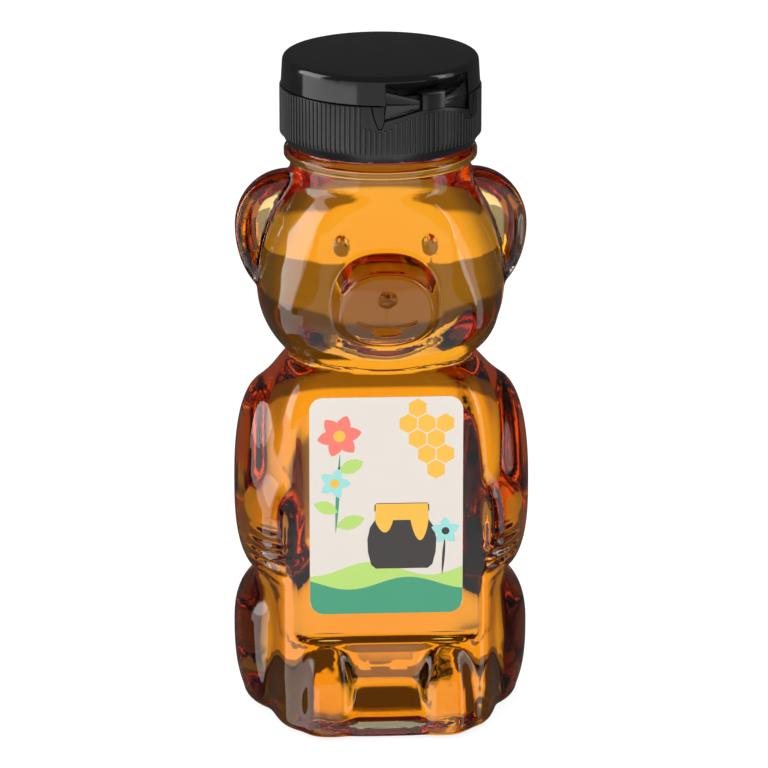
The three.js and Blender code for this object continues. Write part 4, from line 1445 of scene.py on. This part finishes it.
# %% Looks of the bottle and the honey
def clear_look(name, colour, roughness, ior):
    """A clear shell: light passes and bends, with no colour of its own."""
    look = bpy.data.materials.new(name)
    look.use_nodes = True
    shader = look.node_tree.nodes["Principled BSDF"]
    shader.inputs["Base Color"].default_value = (*colour, 1)
    shader.inputs["Roughness"].default_value = roughness
    shader.inputs["IOR"].default_value = ior
    shader.inputs["Transmission Weight"].default_value = 1.0
    return look


def honey_look():
    look = clear_look("honey", (1, 1, 1), 0.0, 1.49)
    look.node_tree.nodes["Principled BSDF"].inputs["Specular Tint"].default_value = (0, 0, 0, 1)
    tree = look.node_tree
    soak = new_node(tree, "ShaderNodeVolumeAbsorption", Color=(0.984, 0.758, 0.0, 1), Density=95.0)
    out = next(n for n in tree.nodes if n.type == "OUTPUT_MATERIAL")
    tree.links.new(soak.outputs[0], out.inputs["Volume"])
    return look


bottle.data.materials.append(clear_look("clear blown plastic", (0.99, 0.985, 0.97), 0.03, 1.5))
inner_look = clear_look("wetted inner wall", (0.99, 0.985, 0.97), 0.03, 1.5)
inner_look.node_tree.nodes["Principled BSDF"].inputs["Specular Tint"].default_value = (0, 0, 0, 1)
bottle.data.materials.append(inner_look)
inner_numbers = np.zeros(len(bottle.data.polygons), np.int32)
inner_numbers[outer_count:outer_count + inner_count] = 1
bottle.data.polygons.foreach_set("material_index", inner_numbers)
honey.data.materials.append(honey_look())
print("faces of the inner wall:", int(inner_numbers.sum()))

# %% [markdown]
# ## Finishes
# Moulded plastic isn't perfectly even: its gloss varies a little and its surface has a very fine grain. Each
# finish gets both from noise on Object coordinates, at a scale that the real material shows.

# %% Looks of the closure, the label and the seal
def grained_look(name, colour, roughness, grain, depth, uneven=0.06, metallic=0.0, tone=0.06):
    """An opaque finish with fine grain and an uneven gloss. The grain's size and depth are in millimetres."""
    look = bpy.data.materials.new(name)
    look.use_nodes = True
    tree = look.node_tree
    shader = tree.nodes["Principled BSDF"]
    shader.inputs["Metallic"].default_value = metallic
    place = tree.nodes.new("ShaderNodeTexCoord")
    fine = new_node(tree, "ShaderNodeTexNoise", Scale=1000.0 / grain, Detail=3.0)
    broad = new_node(tree, "ShaderNodeTexNoise", Scale=160.0, Detail=2.0)
    for noise in (fine, broad):
        tree.links.new(place.outputs["Object"], noise.inputs["Vector"])
    gloss = new_node(tree, "ShaderNodeMapRange")
    gloss.inputs["To Min"].default_value = max(roughness - uneven, 0.02)
    gloss.inputs["To Max"].default_value = roughness + uneven
    tree.links.new(broad.outputs[0], gloss.inputs["Value"])
    tree.links.new(gloss.outputs[0], shader.inputs["Roughness"])
    paint = new_node(tree, "ShaderNodeMix")
    paint.data_type = "RGBA"
    paint.inputs[6].default_value = (*[c * (1 - tone) for c in colour], 1)
    paint.inputs[7].default_value = (*[min(c * (1 + tone), 1) for c in colour], 1)
    tree.links.new(broad.outputs[0], paint.inputs[0])
    tree.links.new(paint.outputs[2], shader.inputs["Base Color"])
    bump = new_node(tree, "ShaderNodeBump", Strength=1.0, Distance=depth * MM)
    tree.links.new(fine.outputs[0], bump.inputs["Height"])
    tree.links.new(bump.outputs[0], shader.inputs["Normal"])
    return look


def let_light_through(look, share, colour):
    """Thin paper passes a share of the light that falls on it."""
    tree = look.node_tree
    out = next(n for n in tree.nodes if n.type == "OUTPUT_MATERIAL")
    glow = new_node(tree, "ShaderNodeBsdfTranslucent", Color=(*colour, 1))
    both = new_node(tree, "ShaderNodeMixShader", Fac=share)
    link(tree, (tree.nodes["Principled BSDF"].outputs[0], both.inputs[1]), (glow.outputs[0], both.inputs[2]),
         (both.outputs[0], out.inputs["Surface"]))


satin_black = grained_look("satin black plastic", (0.01, 0.01, 0.0104), 0.3, 0.5, 0.012)
gloss_black = grained_look("gloss black plastic", (0.0085, 0.0085, 0.009), 0.1, 0.6, 0.002, 0.03)
web_black = grained_look("flexed black plastic", (0.01, 0.01, 0.0104), 0.22, 0.4, 0.006)
paper_look = grained_look("label paper", (0.955, 0.888, 0.815), 0.5, 0.25, 0.006, 0.05, tone=0.012)
let_light_through(paper_look, 0.15, (1.0, 0.95, 0.88))
paper_back = grained_look("label glue side", (0.9, 0.85, 0.78), 0.6, 0.3, 0.004, 0.05, tone=0.012)
let_light_through(paper_back, 0.9, (1.0, 0.97, 0.92))
foil_look = grained_look("foil seal", (0.8, 0.81, 0.82), 0.28, 0.8, 0.01, 0.08, metallic=1.0)
foam_look = grained_look("foamed ring", (0.82, 0.8, 0.76), 0.85, 0.35, 0.03, 0.05)
base_piece.data.materials.append(satin_black)
lid_piece.data.materials.append(gloss_black)
for web in [strap_piece] + wing_pieces:
    web.data.materials.append(web_black)
rib_piece = build_ribs(satin_black)
paper_piece.data.materials.append(paper_look)
paper_piece.data.materials.append(paper_back)
for face in paper_piece.data.polygons:
    face.material_index = int(face.normal.y > 0.5)
for ink, piece in ink_pieces.items():
    colour = prints[ink]["colour"]
    piece.data.materials.append(grained_look(f"{ink} ink", colour, 0.45, 0.25, 0.004, 0.05, tone=0.03))
for node, look in (("foil_seal", foil_look), ("sealing_ring", foam_look)):
    bpy.data.objects[node].data.materials.clear()
    bpy.data.objects[node].data.materials.append(look)
print("ribs:", triangles(rib_piece), "triangles")

# %% [markdown]
# ## Where the pieces ride
# On the real bottle the label and the honey go where the bottle goes, the ribs turn with the closure, and the
# lid swings. Parenting would say that too, but each piece is handed to its body by name, so that the poses
# can move it. The webs bend on the real bottle, but here their places are only baked into their meshes.

# %% Bodies, slots and replaced nodes
riders = [
    (bottle, "bottle", "clear_plastic", ["bottle"]), (honey, "bottle", "honey", ["honey"]),
    (paper_piece, "bottle", "label_paper", ["front_label"]),
    (base_piece, "closure", "black_satin", ["closure_base"]), (rib_piece, "closure", "black_satin", []),
    (lid_piece, "lid", "black_gloss", ["flip_lid"]),
] + [(piece, "bottle", "label_paper", []) for piece in ink_pieces.values()]
for piece, body, slot, nodes in riders:
    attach(piece, body)
    if nodes:
        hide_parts(*nodes)
for piece, node in zip([strap_piece] + wing_pieces, ("hinge_strap", "hinge_wing_left", "hinge_wing_right")):
    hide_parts(node)
    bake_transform(piece)
print("pieces that ride:", len(riders), "and webs that bend:", 1 + len(wing_pieces))
